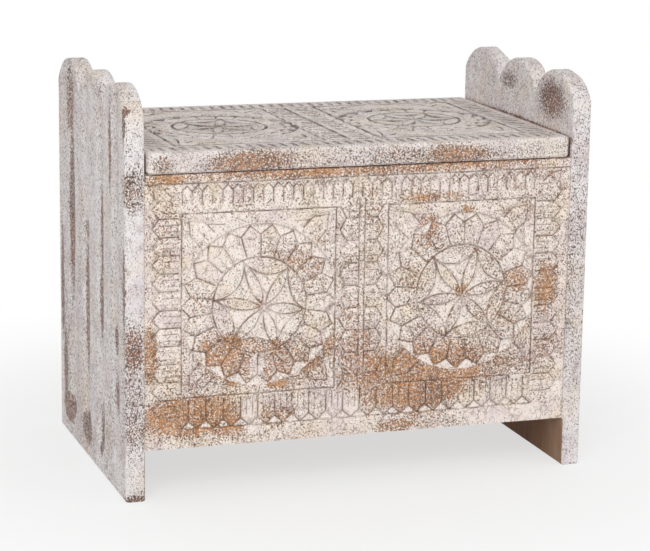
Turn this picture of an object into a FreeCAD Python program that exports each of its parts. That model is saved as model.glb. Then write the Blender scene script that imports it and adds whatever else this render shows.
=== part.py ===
import FreeCAD, Part
import math
import os
import Sketcher
from types import SimpleNamespace

# Carved chest bench: two domed side boards carry a box with a hinged, carved lid between them.
# X runs along the front, Y from front to back, Z up. The origin is on the floor, at the middle.

SIZES = [
    # The whole chest
    ("width", 600.0, "outside width over both side boards"),
    ("depth", 365.0, "depth of the side boards"),
    ("height", 504.0, "floor to the tops of the domes"),
    # Side boards
    ("side_thick", 25.0, "thickness of a side board"),
    ("lobe_rise", 33.0, "height of a dome above the valley beside it"),
    ("side_edge_round", 2.5, "rounding of a side board's upright edges"),
    ("flute_radius", 68.0, "radius of the gouge that scoops a flute"),
    ("flute_depth", 3.0, "depth of a flute"),
    ("flute_pitch", 79.0, "distance from flute to flute"),
    ("flute_setback", 50.0, "front edge to the middle of the first flute"),
    ("flute_foot", 37.0, "floor to the round end of a flute"),
    # Box
    ("floor_gap", 62.5, "floor to the lower edges of the front and back boards"),
    ("front_thick", 20.0, "thickness of the front board"),
    ("front_setback", 3.0, "front board behind the front edges of the side boards"),
    ("back_thick", 18.0, "thickness of the back board"),
    ("floor_thick", 12.0, "thickness of the floor board"),
    ("floor_clear", 0.3, "play of the floor board between the walls"),
    ("cleat_width", 22.0, "width of a cleat, from the wall inwards"),
    ("cleat_height", 22.0, "height of a cleat"),
    ("cleat_lift", 5.0, "cleats above the lower edges of the front and back boards"),
    # Lid
    ("seat_height", 428.0, "floor to the top of the lid"),
    ("lid_thick", 26.0, "thickness of the lid"),
    ("lid_end_gap", 3.0, "gap between the lid and a side board"),
    ("lid_seat_gap", 0.3, "gap between the lid and the boards under it"),
    ("lid_overhang", 22.0, "rear edge of the lid behind the hinge pins"),
    ("lid_corner_round", 7.0, "rounding of the lid's corners, seen from above"),
    ("lid_edge_round", 3.5, "rounding of the lid's long edges"),
    ("batten_width", 40.0, "width of a lid batten"),
    ("batten_thick", 18.0, "thickness of a lid batten"),
    ("batten_inset", 72.0, "end of the lid to the near edge of a batten"),
    ("batten_end_gap", 14.0, "end of a batten to the front or back board"),
    ("batten_bevel", 5.0, "bevel of a batten's lower ends"),
    # Hinges
    ("hinge_length", 63.0, "length of a hinge along its pin"),
    ("hinge_inset", 80.0, "end of the lid to the near end of a hinge"),
    ("leaf_reach", 17.0, "hinge pin to the far edge of a leaf"),
    ("leaf_thick", 1.5, "thickness of a leaf"),
    ("knuckle_radius", 3.0, "outer radius of a knuckle"),
    ("knuckle_gap", 0.3, "gap from knuckle to knuckle"),
    ("hinge_clear", 0.3, "gap from a knuckle to the wood beside it"),
    ("pin_radius", 1.5, "radius of a hinge pin"),
    ("pin_clear", 0.05, "running clearance round a hinge pin"),
    ("pin_head_radius", 2.4, "radius of a pin's head"),
    ("pin_head_thick", 1.0, "thickness of a pin's head"),
    # Screws and dowels
    ("leaf_screw_radius", 1.4, "shank radius of a hinge screw"),
    ("leaf_screw_head", 2.6, "head radius of a hinge screw"),
    ("leaf_screw_length", 13.0, "length of a hinge screw"),
    ("leaf_screw_inset", 9.0, "end of a leaf to its first screw"),
    ("screw_radius", 2.0, "shank radius of a wood screw"),
    ("screw_head", 4.0, "head radius of a wood screw"),
    ("screw_bite", 12.0, "length of a wood screw in the second piece"),
    ("floor_screw_bite", 10.0, "length of a floor screw in its cleat"),
    ("cleat_screw_lift", 6.5, "cleat's underside to its screws, which pass below the floor screws"),
    ("screw_tip", 2.0, "length of a screw's point"),
    ("screw_clear", 0.05, "clearance round a screw or a dowel"),
    ("cleat_screw_inset", 45.0, "end of a cleat to its first screw"),
    ("batten_screw_inset", 40.0, "end of a batten to its first screw"),
    ("floor_screw_inset", 70.0, "end of the floor board to its first screw"),
    ("dowel_radius", 4.0, "radius of a dowel"),
    ("dowel_in_side", 15.0, "length of a dowel in the side board"),
    ("dowel_in_rail", 25.0, "length of a dowel in the front or back board"),
    ("dowel_margin", 45.0, "edge of the front or back board to the nearest dowel"),
    # Carving of the front board and the lid
    ("carve_depth", 2.5, "depth of the carving on the front board"),
    ("lid_carve_depth", 1.5, "depth of the carving on the lid"),
    ("groove_width", 2.5, "width of a carved line"),
    ("frame_side_margin", 46.0, "side board to the outer edge of a rosette panel"),
    ("frame_half_gap", 34.0, "middle of the chest to the inner edge of a rosette panel"),
    ("frame_foot_margin", 62.5, "lower edge of the front board to a rosette panel"),
    ("frame_head_margin", 50.0, "upper edge of the front board to a rosette panel"),
    ("lid_frame_margin", 44.0, "long edge of the lid to a rosette panel"),
    ("rim_radius", 59.5, "radius of the line round a rosette"),
    ("ground_start", 10.0, "rosette's middle to the point of a sunk field"),
    ("ground_reach", 47.0, "rosette's middle to the chord of a sunk field's outer side"),
    ("ground_spread", 26.0, "half width of a sunk field"),
    ("ground_side_radius", 62.0, "curve of a petal beside a sunk field"),
    ("ground_lens_radius", 84.0, "curve of a sunk field's outer side"),
    ("ring_start", 63.0, "rosette's middle to the start of the cut between two ring leaves"),
    ("ring_neck", 82.0, "rosette's middle to where that cut opens"),
    ("ring_end", 94.5, "rosette's middle to the end of that cut"),
    ("ring_mouth_half", 9.5, "half width of that cut at its end"),
    ("slit_half", 1.0, "half width of the cut between two leaves"),
    ("head_leaf_pitch", 12.67, "leaf to leaf, upper border"),
    ("head_leaf_length", 23.5, "length of a leaf, upper border"),
    ("head_leaf_margin", 16.2, "upper edge of the front board to the leaf tips"),
    ("head_line_margin", 14.3, "upper edge of the front board to the far side of the line under it"),
    ("foot_leaf_pitch", 22.0, "leaf to leaf, lower border"),
    ("foot_leaf_length", 37.0, "length of a leaf, lower border"),
    ("foot_leaf_margin", 22.5, "lower edge of the front board to the leaf tips"),
    ("side_leaf_pitch", 22.4, "leaf to leaf, side borders"),
    ("side_leaf_length", 33.0, "length of a leaf, side borders"),
    ("side_leaf_margin", 10.0, "side board to the leaf tips, side borders"),
    ("side_leaf_foot", 37.8, "lower edge of the front board to the side borders"),
    ("side_leaf_head", 32.4, "upper edge of the front board to the side borders"),
    ("centre_leaf_pitch", 28.2, "leaf to leaf, middle border"),
    ("centre_leaf_length", 21.5, "length of a leaf, middle border"),
    ("centre_leaf_margin", 6.0, "rosette panel to the leaf tips, middle border"),
    ("centre_line_half", 3.6, "middle of the chest to a line of the middle fillet"),
    ("tick_pitch", 13.8, "gouge mark to gouge mark"),
    ("tick_length", 18.0, "length of a gouge mark"),
    ("tick_width", 3.0, "width of a gouge mark"),
    ("tick_lean", 1.4, "sideways slant of a gouge mark"),
    ("tick_margin", 15.5, "long edge of the lid to the gouge marks"),
    ("tick_end_margin", 15.0, "end of the lid to the gouge marks along it"),
    # One overrun for all cuts
    ("overrun", 2.0, "how far a cut runs past the face that it starts or ends in"),
]

# Counts of what repeats
LOBES = 3
FLUTES = 4
PETALS = 6
RING_LEAVES = 21
CROWDED_RING_LEAVES = 22
KNUCKLES = 5
LEAF_SCREWS = 3
LONG_CLEAT_SCREWS = 3
SHORT_CLEAT_SCREWS = 2
BATTEN_SCREWS = 3
FLOOR_SCREWS = 3
DOWELS = 3
# Rosettes, left and right: side, turns of the star and of its ring in degrees, leaves in the ring
FRONT_ROSETTES = ((-1, -8.5, -1.0, CROWDED_RING_LEAVES), (1, 10.5, 10.4, RING_LEAVES))
LID_ROSETTES = ((-1, 12.0, 0.0, RING_LEAVES), (1, -4.0, 0.0, RING_LEAVES))
# Height of a countersunk head as a share of its overhang
HEAD_SLOPE_SHARE = 0.8
# Half the mouth of a leaf cut as a share of its pitch, and its length as a share of the whole cut
MOUTH_SHARE = 0.36
NECK_SHARE = 0.35

doc = FreeCAD.newDocument("CarvedChestBench")
sheet = doc.addObject("Spreadsheet::Sheet", "Sizes")
for row_number, (alias, number, meaning) in enumerate(SIZES, start=1):
    sheet.set(f"A{row_number}", meaning)
    sheet.set(f"B{row_number}", str(number))
    sheet.setAlias(f"B{row_number}", alias)
doc.recompute()


class Size:
    """A length worked out from the sheet: its value now, and the expression that keeps it live."""

    def __init__(self, text, value):
        self.text = text
        self.value = value

    @staticmethod
    def of(other):
        return other if isinstance(other, Size) else Size(repr(other), float(other))

    def joined(self, sign, other, value):
        return Size(f"({self.text} {sign} {other.text})", value)

    def __add__(self, other):
        other = Size.of(other)
        return self.joined("+", other, self.value + other.value)

    def __sub__(self, other):
        other = Size.of(other)
        return self.joined("-", other, self.value - other.value)

    def __mul__(self, other):
        other = Size.of(other)
        return self.joined("*", other, self.value * other.value)

    def __truediv__(self, other):
        other = Size.of(other)
        return self.joined("/", other, self.value / other.value)

    def __neg__(self):
        return Size(f"(0 - {self.text})", -self.value)

    def whole(self):
        """The whole number at or under this value."""
        return Size(f"floor({self.text})", math.floor(self.value))


dim = SimpleNamespace()
for alias, number, meaning in SIZES:
    setattr(dim, alias, Size(f"Sizes.{alias}", sheet.get(alias)))
ZERO = Size("0", 0.0)

# Places that several pieces share
half_width = dim.width / 2
half_depth = dim.depth / 2
inner_half = half_width - dim.side_thick
lid_under = dim.seat_height - dim.lid_thick
box_top = lid_under - dim.lid_seat_gap
lid_half = inner_half - dim.lid_end_gap
front_face = dim.front_setback - half_depth
front_inner = front_face + dim.front_thick
pin_y = half_depth - dim.lid_overhang
pin_z = lid_under - dim.knuckle_radius - dim.hinge_clear
back_outer = pin_y - dim.knuckle_radius - dim.hinge_clear
back_inner = back_outer - dim.back_thick
cleat_foot = dim.floor_gap + dim.cleat_lift
floor_under = cleat_foot + dim.cleat_height
board_height = box_top - dim.floor_gap
dowel_pitch = (board_height - dim.dowel_margin * 2) / (DOWELS - 1)
dowel_foot = dim.floor_gap + dim.dowel_margin
front_middle = front_face + dim.front_thick / 2
back_middle = back_inner + dim.back_thick / 2
cleat_screw_z = cleat_foot + dim.cleat_screw_lift
long_cleat_screw = dim.cleat_screw_inset - inner_half
long_cleat_pitch = (inner_half * 2 - dim.cleat_screw_inset * 2) / (LONG_CLEAT_SCREWS - 1)
short_cleat_start = front_inner + dim.cleat_width
short_cleat_end = back_inner - dim.cleat_width
short_cleat_screw = short_cleat_start + dim.cleat_screw_inset
short_cleat_run = short_cleat_end - dim.cleat_screw_inset - short_cleat_screw
short_cleat_pitch = short_cleat_run / (SHORT_CLEAT_SCREWS - 1)
floor_screw_start = dim.floor_screw_inset - inner_half
floor_screw_pitch = (inner_half - dim.floor_screw_inset) * 2 / (FLOOR_SCREWS - 1)
floor_screw_rows = (front_inner + dim.cleat_width / 2, back_inner - dim.cleat_width / 2)
hinge_start = lid_half - dim.hinge_inset - dim.hinge_length
knuckle_pitch = dim.hinge_length / KNUCKLES
knuckle_length = knuckle_pitch - dim.knuckle_gap
leaf_edge = dim.leaf_reach - (dim.knuckle_radius + dim.hinge_clear)
left_hinge_start = -(hinge_start + dim.hinge_length)
leaf_screw_starts = (left_hinge_start + dim.leaf_screw_inset, hinge_start + dim.leaf_screw_inset)
leaf_screw_reach = dim.leaf_reach - leaf_edge / 2
box_leaf_screw_z = pin_z - leaf_screw_reach
lid_leaf_screw_y = pin_y - leaf_screw_reach
leaf_screw_pitch = (dim.hinge_length - dim.leaf_screw_inset * 2) / (LEAF_SCREWS - 1)
batten_near = lid_half - dim.batten_inset - dim.batten_width
batten_middle = batten_near + dim.batten_width / 2
batten_front = front_inner + dim.batten_end_gap
batten_length = back_inner - dim.batten_end_gap - batten_front
batten_screw_y = batten_front + dim.batten_screw_inset
batten_screw_pitch = (batten_length - dim.batten_screw_inset * 2) / (BATTEN_SCREWS - 1)
frame_outer = inner_half - dim.frame_side_margin
frame_middle = (frame_outer + dim.frame_half_gap) / 2

pieces = []


def bind(thing, name, size):
    """Tie a property to the sheet."""
    thing.setExpression(name, size.text)


def new_body(label, finished=True):
    """Start a piece of the chest, or the blank of one that is carved further."""
    body = doc.addObject("PartDesign::Body", label)
    body.Label = label
    if finished:
        pieces.append(body)
    return body


def origin_part(body, role):
    return next(feature for feature in body.Origin.OriginFeatures if feature.Role == role)


def sketch_on(body, plane, across, up, out):
    """A sketch parallel to one of the body's planes, with its origin at the given place on it."""
    sketch = body.newObject("Sketcher::SketchObject", f"{body.Label}_sketch")
    sketch.AttachmentSupport = (origin_part(body, plane), [""])
    sketch.MapMode = "FlatFace"
    for axis, place in zip("xyz", (across, up, out)):
        bind(sketch, f"AttachmentOffset.Base.{axis}", place)
    return sketch


def hold(sketch, kind, geometry, point, size):
    """Hold one coordinate of a point of the sketch at a size."""
    index = sketch.addConstraint(Sketcher.Constraint(kind, -1, 1, geometry, point, size.value))
    bind(sketch, f"Constraints[{index}]", size)


def arc_edge(start, end, radius, side):
    """An arc from start to end that bulges to the left of that way, or to the right when side is -1."""
    chord = end - start
    left = FreeCAD.Vector(-chord.y, chord.x, 0).normalize()
    middle = (start + end) * 0.5 - left * side * math.sqrt(radius ** 2 - (chord.Length / 2) ** 2)
    spokes = [start - middle, end - middle]
    angles = [math.atan2(spoke.y, spoke.x) for spoke in spokes]
    if side > 0:
        angles.reverse()
    if angles[1] < angles[0]:
        angles[1] += math.tau
    return Part.ArcOfCircle(Part.Circle(middle, FreeCAD.Vector(0, 0, 1), radius), angles[0], angles[1])


def outline(sketch, corners, arcs=None):
    """Draw a closed loop. arcs gives, for the edge that leaves a corner, its radius and bulging side."""
    arcs = arcs or {}
    spots = [FreeCAD.Vector(across.value, up.value, 0) for across, up in corners]
    edges = []
    for index, start in enumerate(spots):
        end = spots[(index + 1) % len(spots)]
        if index in arcs:
            radius, side = arcs[index]
            shape = arc_edge(start, end, radius.value, side)
            first, last = (2, 1) if side > 0 else (1, 2)
        else:
            shape = Part.LineSegment(start, end)
            first, last = 1, 2
        edges.append((sketch.addGeometry(shape, False), first, last))
    for index, (edge, first, last) in enumerate(edges):
        follower, follower_first, follower_last = edges[(index + 1) % len(edges)]
        sketch.addConstraint(Sketcher.Constraint("Coincident", edge, last, follower, follower_first))
    for (edge, first, last), (across, up) in zip(edges, corners):
        hold(sketch, "DistanceX", edge, first, across)
        hold(sketch, "DistanceY", edge, first, up)
    for index, (radius, side) in arcs.items():
        constraint = sketch.addConstraint(Sketcher.Constraint("Radius", edges[index][0], radius.value))
        bind(sketch, f"Constraints[{constraint}]", radius)


def rectangle(sketch, across, up, wide, high):
    """Draw a rectangle from its lower left corner."""
    right = across + wide
    top = up + high
    outline(sketch, [(across, up), (right, up), (right, top), (across, top)])


def circle(sketch, radius):
    """Draw a circle round the sketch's origin."""
    shape = Part.Circle(FreeCAD.Vector(0, 0, 0), FreeCAD.Vector(0, 0, 1), radius.value)
    edge = sketch.addGeometry(shape, False)
    sketch.addConstraint(Sketcher.Constraint("Coincident", edge, 3, -1, 1))
    index = sketch.addConstraint(Sketcher.Constraint("Radius", edge, radius.value))
    bind(sketch, f"Constraints[{index}]", radius)


def feature_of(body, kind, sketch):
    feature = body.newObject(f"PartDesign::{kind}", f"{body.Label}_{kind.lower()}")
    feature.Profile = sketch
    return feature


def pad(body, sketch, length, backwards=False):
    feature = feature_of(body, "Pad", sketch)
    bind(feature, "Length", length)
    feature.Reversed = backwards
    return feature


def pocket(body, sketch, depth, forwards=False):
    """Cut against the sketch's normal, or along it when forwards."""
    feature = feature_of(body, "Pocket", sketch)
    bind(feature, "Length", depth)
    feature.Reversed = forwards
    return feature


def turned(body, kind, sketch, axis):
    """A Revolution or Groove about an axis of its own sketch."""
    feature = feature_of(body, kind, sketch)
    feature.ReferenceAxis = (sketch, [axis])
    feature.Angle = 360
    return feature


def row(body, features, axis, pitch, count):
    """Repeat features along a body axis, count times in all."""
    pattern = body.newObject("PartDesign::LinearPattern", f"{body.Label}_row")
    pattern.Originals = features
    pattern.Direction = (origin_part(body, axis), [""])
    pattern.Mode = "Spacing"
    bind(pattern, "Offset", pitch)
    bind(pattern, "Occurrences", Size.of(count))
    body.Tip = pattern
    return pattern


def ring(body, features, sketch, count):
    """Repeat features round a sketch's origin."""
    pattern = body.newObject("PartDesign::PolarPattern", f"{body.Label}_ring")
    pattern.Originals = features
    pattern.Axis = (sketch, ["N_Axis"])
    pattern.Angle = 360
    pattern.Occurrences = count
    body.Tip = pattern
    return pattern


def mirrored(body, features, plane):
    """Repeat features on the other side of one of the body's planes."""
    copy = body.newObject("PartDesign::Mirrored", f"{body.Label}_mirrored")
    copy.Originals = features
    copy.MirrorPlane = (origin_part(body, plane), [""])
    body.Tip = copy
    return copy


def edges_of(feature, wanted):
    """Names of a feature's edges whose boxes are wanted."""
    numbered = enumerate(feature.Shape.Edges, start=1)
    return [f"Edge{index}" for index, edge in numbered if wanted(edge.BoundBox)]


def round_edges(body, base, wanted, radius):
    """Round the edges of the last feature whose boxes are wanted."""
    base.recompute()
    fillet = body.newObject("PartDesign::Fillet", f"{body.Label}_fillet")
    fillet.Base = (base, edges_of(base, wanted))
    bind(fillet, "Radius", radius)
    return fillet


def block(label, low, high):
    """A plain board between two corners."""
    body = new_body(label)
    sketch = sketch_on(body, "XY_Plane", ZERO, ZERO, low[2])
    rectangle(sketch, low[0], low[1], high[0] - low[0], high[1] - low[1])
    pad(body, sketch, high[2] - low[2])
    return body


def drill(body, plane, across, up, out, radius, depth, forwards=False):
    """A round hole that starts in a face at the given place."""
    sketch = sketch_on(body, plane, across, up, out)
    circle(sketch, radius)
    return pocket(body, sketch, depth, forwards)


def head_height(shank, head):
    return (head - shank) * HEAD_SLOPE_SHARE


def screw_profile(sketch, shank, head, length, inwards, along_up):
    """Half the outline of a countersunk screw, with its head's face at the sketch's origin."""
    tip_start = length - dim.screw_tip
    slope = head_height(shank, head)
    steps = [(ZERO, ZERO), (head, ZERO), (shank, slope), (shank, tip_start), (ZERO, length)]
    corners = []
    for away, along in steps:
        along = along if inwards else -along
        corners.append((away, along) if along_up else (along, away))
    outline(sketch, corners)


def countersink(body, plane, across, up, out, shank, head, depth, inwards, along_up):
    """A countersunk hole through a piece, with the screw clearance all round."""
    sketch = sketch_on(body, plane, across, up, out)
    wide = head + dim.screw_clear
    slim = shank + dim.screw_clear
    slope = head_height(shank, head)
    start = -dim.overrun
    end = depth + dim.overrun
    steps = [(ZERO, start), (wide, start), (wide, ZERO), (slim, slope), (slim, end), (ZERO, end)]
    corners = []
    for away, along in steps:
        along = along if inwards else -along
        corners.append((away, along) if along_up else (along, away))
    outline(sketch, corners)
    return turned(body, "Groove", sketch, "V_Axis" if along_up else "H_Axis")


def pilot(body, plane, across, up, out, shank, length, forwards=False):
    """A blind hole for the part of a screw that enters the second piece."""
    radius = shank + dim.screw_clear
    depth = length + dim.screw_clear
    return drill(body, plane, across, up, out, radius, depth, forwards)


# Side boards
def side_outline(sketch):
    """Straight below, three equal domes on top."""
    lobe = dim.depth / LOBES
    valley = dim.height - dim.lobe_rise
    half_lobe = lobe / 2
    radius = (half_lobe * half_lobe + dim.lobe_rise * dim.lobe_rise) / (dim.lobe_rise * 2)
    corners = [(-half_depth, ZERO), (half_depth, ZERO)]
    arcs = {}
    for step in range(LOBES):
        arcs[len(corners)] = (radius, -1)
        corners.append((half_depth - lobe * step, valley))
    corners.append((-half_depth, valley))
    outline(sketch, corners, arcs)


def scoop_flutes(body, side):
    """Shallow upright flutes in the outer face, round at the foot and open at the top."""
    stand_off = dim.flute_radius - dim.flute_depth
    axis_x = (half_width + stand_off) * side
    first = half_depth - dim.flute_setback
    sketch = sketch_on(body, "XZ_Plane", axis_x, dim.flute_foot, first)
    reach = dim.flute_radius * -side
    top = dim.height - dim.flute_foot + dim.overrun
    corners = [(ZERO, -dim.flute_radius), (reach, ZERO), (reach, top), (ZERO, top)]
    outline(sketch, corners, {0: (dim.flute_radius, side)})
    flute = turned(body, "Groove", sketch, "V_Axis")
    row(body, [flute], "Y_Axis", dim.flute_pitch, FLUTES)


def side_board(label, side):
    """side is -1 for the left board and 1 for the right one."""
    body = new_body(label)
    sketch = sketch_on(body, "YZ_Plane", ZERO, ZERO, -half_width if side < 0 else inner_half)
    side_outline(sketch)
    sketch.recompute()
    tall = (dim.height.value - dim.lobe_rise.value) / 2
    board = pad(body, sketch, dim.side_thick)
    round_edges(body, board, lambda box: box.ZLength > tall, dim.side_edge_round)
    scoop_flutes(body, side)
    wall = inner_half * side
    hole = dim.dowel_radius + dim.screw_clear
    depth = dim.dowel_in_side + dim.screw_clear
    for middle in (front_middle, back_middle):
        first = drill(body, "YZ_Plane", middle, dowel_foot, wall, hole, depth, side > 0)
        row(body, [first], "Z_Axis", dowel_pitch, DOWELS)
    first = pilot(body, "YZ_Plane", short_cleat_screw, cleat_screw_z, wall,
                  dim.screw_radius, dim.screw_bite, side > 0)
    row(body, [first], "Y_Axis", short_cleat_pitch, SHORT_CLEAT_SCREWS)


def rail_dowel_holes(body, middle):
    """Blind holes for the dowels in both ends of the front or back board."""
    hole = dim.dowel_radius + dim.screw_clear
    depth = dim.dowel_in_rail + dim.screw_clear
    for side in (-1, 1):
        first = drill(body, "YZ_Plane", middle, dowel_foot, inner_half * side, hole, depth, side < 0)
        row(body, [first], "Z_Axis", dowel_pitch, DOWELS)


def dowels(label, middle):
    """The dowels of both ends of the front or back board, each half in a side board."""
    body = new_body(label)
    length = dim.dowel_in_side + dim.dowel_in_rail
    for side in (-1, 1):
        start = -(inner_half + dim.dowel_in_side) if side < 0 else inner_half - dim.dowel_in_rail
        sketch = sketch_on(body, "YZ_Plane", middle, dowel_foot, start)
        circle(sketch, dim.dowel_radius)
        row(body, [pad(body, sketch, length)], "Z_Axis", dowel_pitch, DOWELS)


# Carving
def frame_groove(body, plane, middle, out, half_wide, half_high, depth):
    """A carved line round a rosette panel."""
    sketch = sketch_on(body, plane, middle[0], middle[1], out)
    inset_wide = half_wide - dim.groove_width
    inset_high = half_high - dim.groove_width
    rectangle(sketch, -half_wide, -half_high, half_wide * 2, half_high * 2)
    rectangle(sketch, -inset_wide, -inset_high, inset_wide * 2, inset_high * 2)
    pocket(body, sketch, depth)


def line_groove(body, plane, low, out, wide, high, depth):
    """A carved straight line."""
    sketch = sketch_on(body, plane, low[0], low[1], out)
    rectangle(sketch, ZERO, ZERO, wide, high)
    return pocket(body, sketch, depth)


def rosette(body, plane, middle, out, turn, depth):
    """Six petals left standing between sunk fields, a line round them and a ring of pointed leaves."""
    rim = sketch_on(body, plane, middle[0], middle[1], out)
    circle(rim, dim.rim_radius)
    circle(rim, dim.rim_radius - dim.groove_width)
    pocket(body, rim, depth)

    field = sketch_on(body, plane, middle[0], middle[1], out)
    field.setExpression("AttachmentOffset.Rotation.Angle", str(turn + 180 / PETALS))
    start = (dim.ground_start, ZERO)
    left = (dim.ground_reach, dim.ground_spread)
    right = (dim.ground_reach, -dim.ground_spread)
    side = (dim.ground_side_radius, 1)
    lens = (dim.ground_lens_radius, 1)
    outline(field, [start, right, left], {0: side, 1: lens, 2: side})
    ring(body, [pocket(body, field, depth)], field, PETALS)


class LeafCuts:
    """The cuts between the leaves of one board, gathered to be taken out of it together.

    spot gives the point of the board's face at a place on it, and inwards the way into the wood.
    """

    def __init__(self, spot, inwards, depth):
        self.spot = spot
        self.inwards = inwards
        self.depth = depth.value
        self.prisms = []

    def cut(self, corners):
        """A straight-sided cut with the given outline on the face."""
        over = dim.overrun.value
        points = [self.spot(across, up) - self.inwards * over for across, up in corners]
        face = Part.Face(Part.makePolygon(points + points[:1]))
        self.prisms.append(face.extrude(self.inwards * (self.depth + over)))

    def between_leaves(self, root, direction, length, neck, mouth_half):
        """The gap between two pointed leaves that lie side by side: a slit that opens at their tips."""
        half = dim.slit_half.value
        one_side = [(0, half), (neck, half), (length, mouth_half)]
        steps = [(along, -aside) for along, aside in one_side] + one_side[::-1]
        along_x, along_y = direction
        corners = []
        for along, aside in steps:
            across = root[0] + along * along_x - aside * along_y
            up = root[1] + along * along_y + aside * along_x
            corners.append((across, up))
        self.cut(corners)

    def ring(self, middle, turn, leaves):
        """The gaps round a rosette's ring of leaves, of which one points along turn."""
        start = dim.ring_start.value
        length = dim.ring_end.value - start
        neck = dim.ring_neck.value - start
        pitch = 360 / leaves
        for leaf in range(leaves):
            angle = math.radians(turn + pitch * leaf + pitch / 2)
            direction = (math.cos(angle), math.sin(angle))
            root = (middle[0].value + start * direction[0], middle[1].value + start * direction[1])
            self.between_leaves(root, direction, length, neck, dim.ring_mouth_half.value)

    def border(self, root, run_start, run, pitch, length, direction):
        """The gaps of a straight border of leaves, spread evenly over its run."""
        count = int(run.value // pitch.value) - 1
        spare = (run.value - pitch.value * (count - 1)) / 2
        neck = length.value * (1 - NECK_SHARE)
        for step in range(count):
            place = run_start.value + spare + pitch.value * step
            foot = (place, root.value) if direction[0] == 0 else (root.value, place)
            self.between_leaves(foot, direction, length.value, neck, pitch.value * MOUTH_SHARE)

    def ticks(self, start, run, at_end=False):
        """A row of gouge marks that begin at start, along the lid or, at_end, up one of its ends."""
        pitch = dim.tick_pitch.value
        half = dim.tick_width.value / 2
        lean = dim.tick_lean.value
        count = int(run.value // pitch)
        end = start.value + dim.tick_length.value
        for step in range(count):
            place = pitch * (step - (count - 1) / 2)
            corners = [(place - half, start.value), (place + half, start.value),
                       (place + half + lean, end), (place - half + lean, end)]
            if at_end:
                corners = [(up, across) for across, up in reversed(corners)]
            self.cut(corners)

    def take_out_of(self, blank, label):
        """The finished board: the blank without the gathered cuts."""
        cuts = doc.addObject("Part::Feature", f"{label}_leaf_cuts")
        cuts.Shape = Part.makeCompound(self.prisms)
        board = doc.addObject("Part::Cut", label)
        board.Label = label
        board.Base = blank
        board.Tool = cuts
        pieces.append(board)


def front_board():
    """Two rosette panels with borders of leaves round and between them."""
    body = new_body("front_blank", finished=False)
    sketch = sketch_on(body, "XZ_Plane", ZERO, ZERO, -front_face)
    rectangle(sketch, -inner_half, dim.floor_gap, inner_half * 2, board_height)
    pad(body, sketch, dim.front_thick, backwards=True)
    rail_dowel_holes(body, front_middle)
    screw = pilot(body, "XZ_Plane", long_cleat_screw, cleat_screw_z, -front_inner,
                  dim.screw_radius, dim.screw_bite, True)
    row(body, [screw], "X_Axis", long_cleat_pitch, LONG_CLEAT_SCREWS)

    def spot(across, up):
        """A place on the front face."""
        return FreeCAD.Vector(across, front_face.value, up)

    out = -front_face
    depth = dim.carve_depth
    leaves = LeafCuts(spot, FreeCAD.Vector(0, 1, 0), depth)
    frame_foot = dim.floor_gap + dim.frame_foot_margin
    frame_head = box_top - dim.frame_head_margin
    run = frame_head - frame_foot
    half_wide = (frame_outer - dim.frame_half_gap) / 2
    side_root = inner_half - dim.side_leaf_margin - dim.side_leaf_length
    side_foot = dim.floor_gap + dim.side_leaf_foot
    side_run = board_height - dim.side_leaf_foot - dim.side_leaf_head
    centre_root = dim.frame_half_gap - dim.centre_leaf_margin - dim.centre_leaf_length
    for side, turn, ring_turn, ring_leaves in FRONT_ROSETTES:
        middle = (frame_middle * side, (frame_head + frame_foot) / 2)
        frame_groove(body, "XZ_Plane", middle, out, half_wide, run / 2, depth)
        rosette(body, "XZ_Plane", middle, out, turn, depth)
        fillet_line = (dim.centre_line_half * side - dim.groove_width / 2, frame_foot)
        line_groove(body, "XZ_Plane", fillet_line, out, dim.groove_width, run, depth)
        leaves.ring(middle, ring_turn, ring_leaves)
        leaves.border(side_root * side, side_foot, side_run,
                      dim.side_leaf_pitch, dim.side_leaf_length, (side, 0))
        leaves.border(centre_root * side, frame_foot, run,
                      dim.centre_leaf_pitch, dim.centre_leaf_length, (side, 0))

    head_line = (dim.side_leaf_margin - inner_half, box_top - dim.head_line_margin)
    line_groove(body, "XZ_Plane", head_line, out, -head_line[0] * 2, dim.groove_width, depth)
    head_root = box_top - dim.head_leaf_margin - dim.head_leaf_length
    leaves.border(head_root, -frame_outer, frame_outer * 2,
                  dim.head_leaf_pitch, dim.head_leaf_length, (0, 1))
    foot_root = dim.floor_gap + dim.foot_leaf_margin + dim.foot_leaf_length
    leaves.border(foot_root, -frame_outer, frame_outer * 2,
                  dim.foot_leaf_pitch, dim.foot_leaf_length, (0, -1))
    leaves.take_out_of(body, "front_board")


def back_board():
    """A plain board with two gains in its upper edge, where the lid's hinge leaves lie."""
    low = (-inner_half, back_inner, dim.floor_gap)
    body = block("back_board", low, (inner_half, back_outer, box_top))
    gain = sketch_on(body, "XY_Plane", hinge_start, ZERO, box_top)
    gain_front = pin_y - dim.leaf_reach - dim.hinge_clear
    gain_high = dim.leaf_thick - dim.lid_seat_gap + dim.hinge_clear
    rectangle(gain, -dim.hinge_clear, gain_front, dim.hinge_length + dim.hinge_clear * 2,
              back_outer + dim.overrun - gain_front)
    mirrored(body, [pocket(body, gain, gain_high)], "YZ_Plane")
    rail_dowel_holes(body, back_middle)
    screw = pilot(body, "XZ_Plane", long_cleat_screw, cleat_screw_z, -back_inner,
                  dim.screw_radius, dim.screw_bite)
    row(body, [screw], "X_Axis", long_cleat_pitch, LONG_CLEAT_SCREWS)
    bite = dim.leaf_screw_length - dim.leaf_thick
    for start in leaf_screw_starts:
        screw = pilot(body, "XZ_Plane", start, box_leaf_screw_z, -back_outer,
                      dim.leaf_screw_radius, bite, True)
        row(body, [screw], "X_Axis", leaf_screw_pitch, LEAF_SCREWS)


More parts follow.
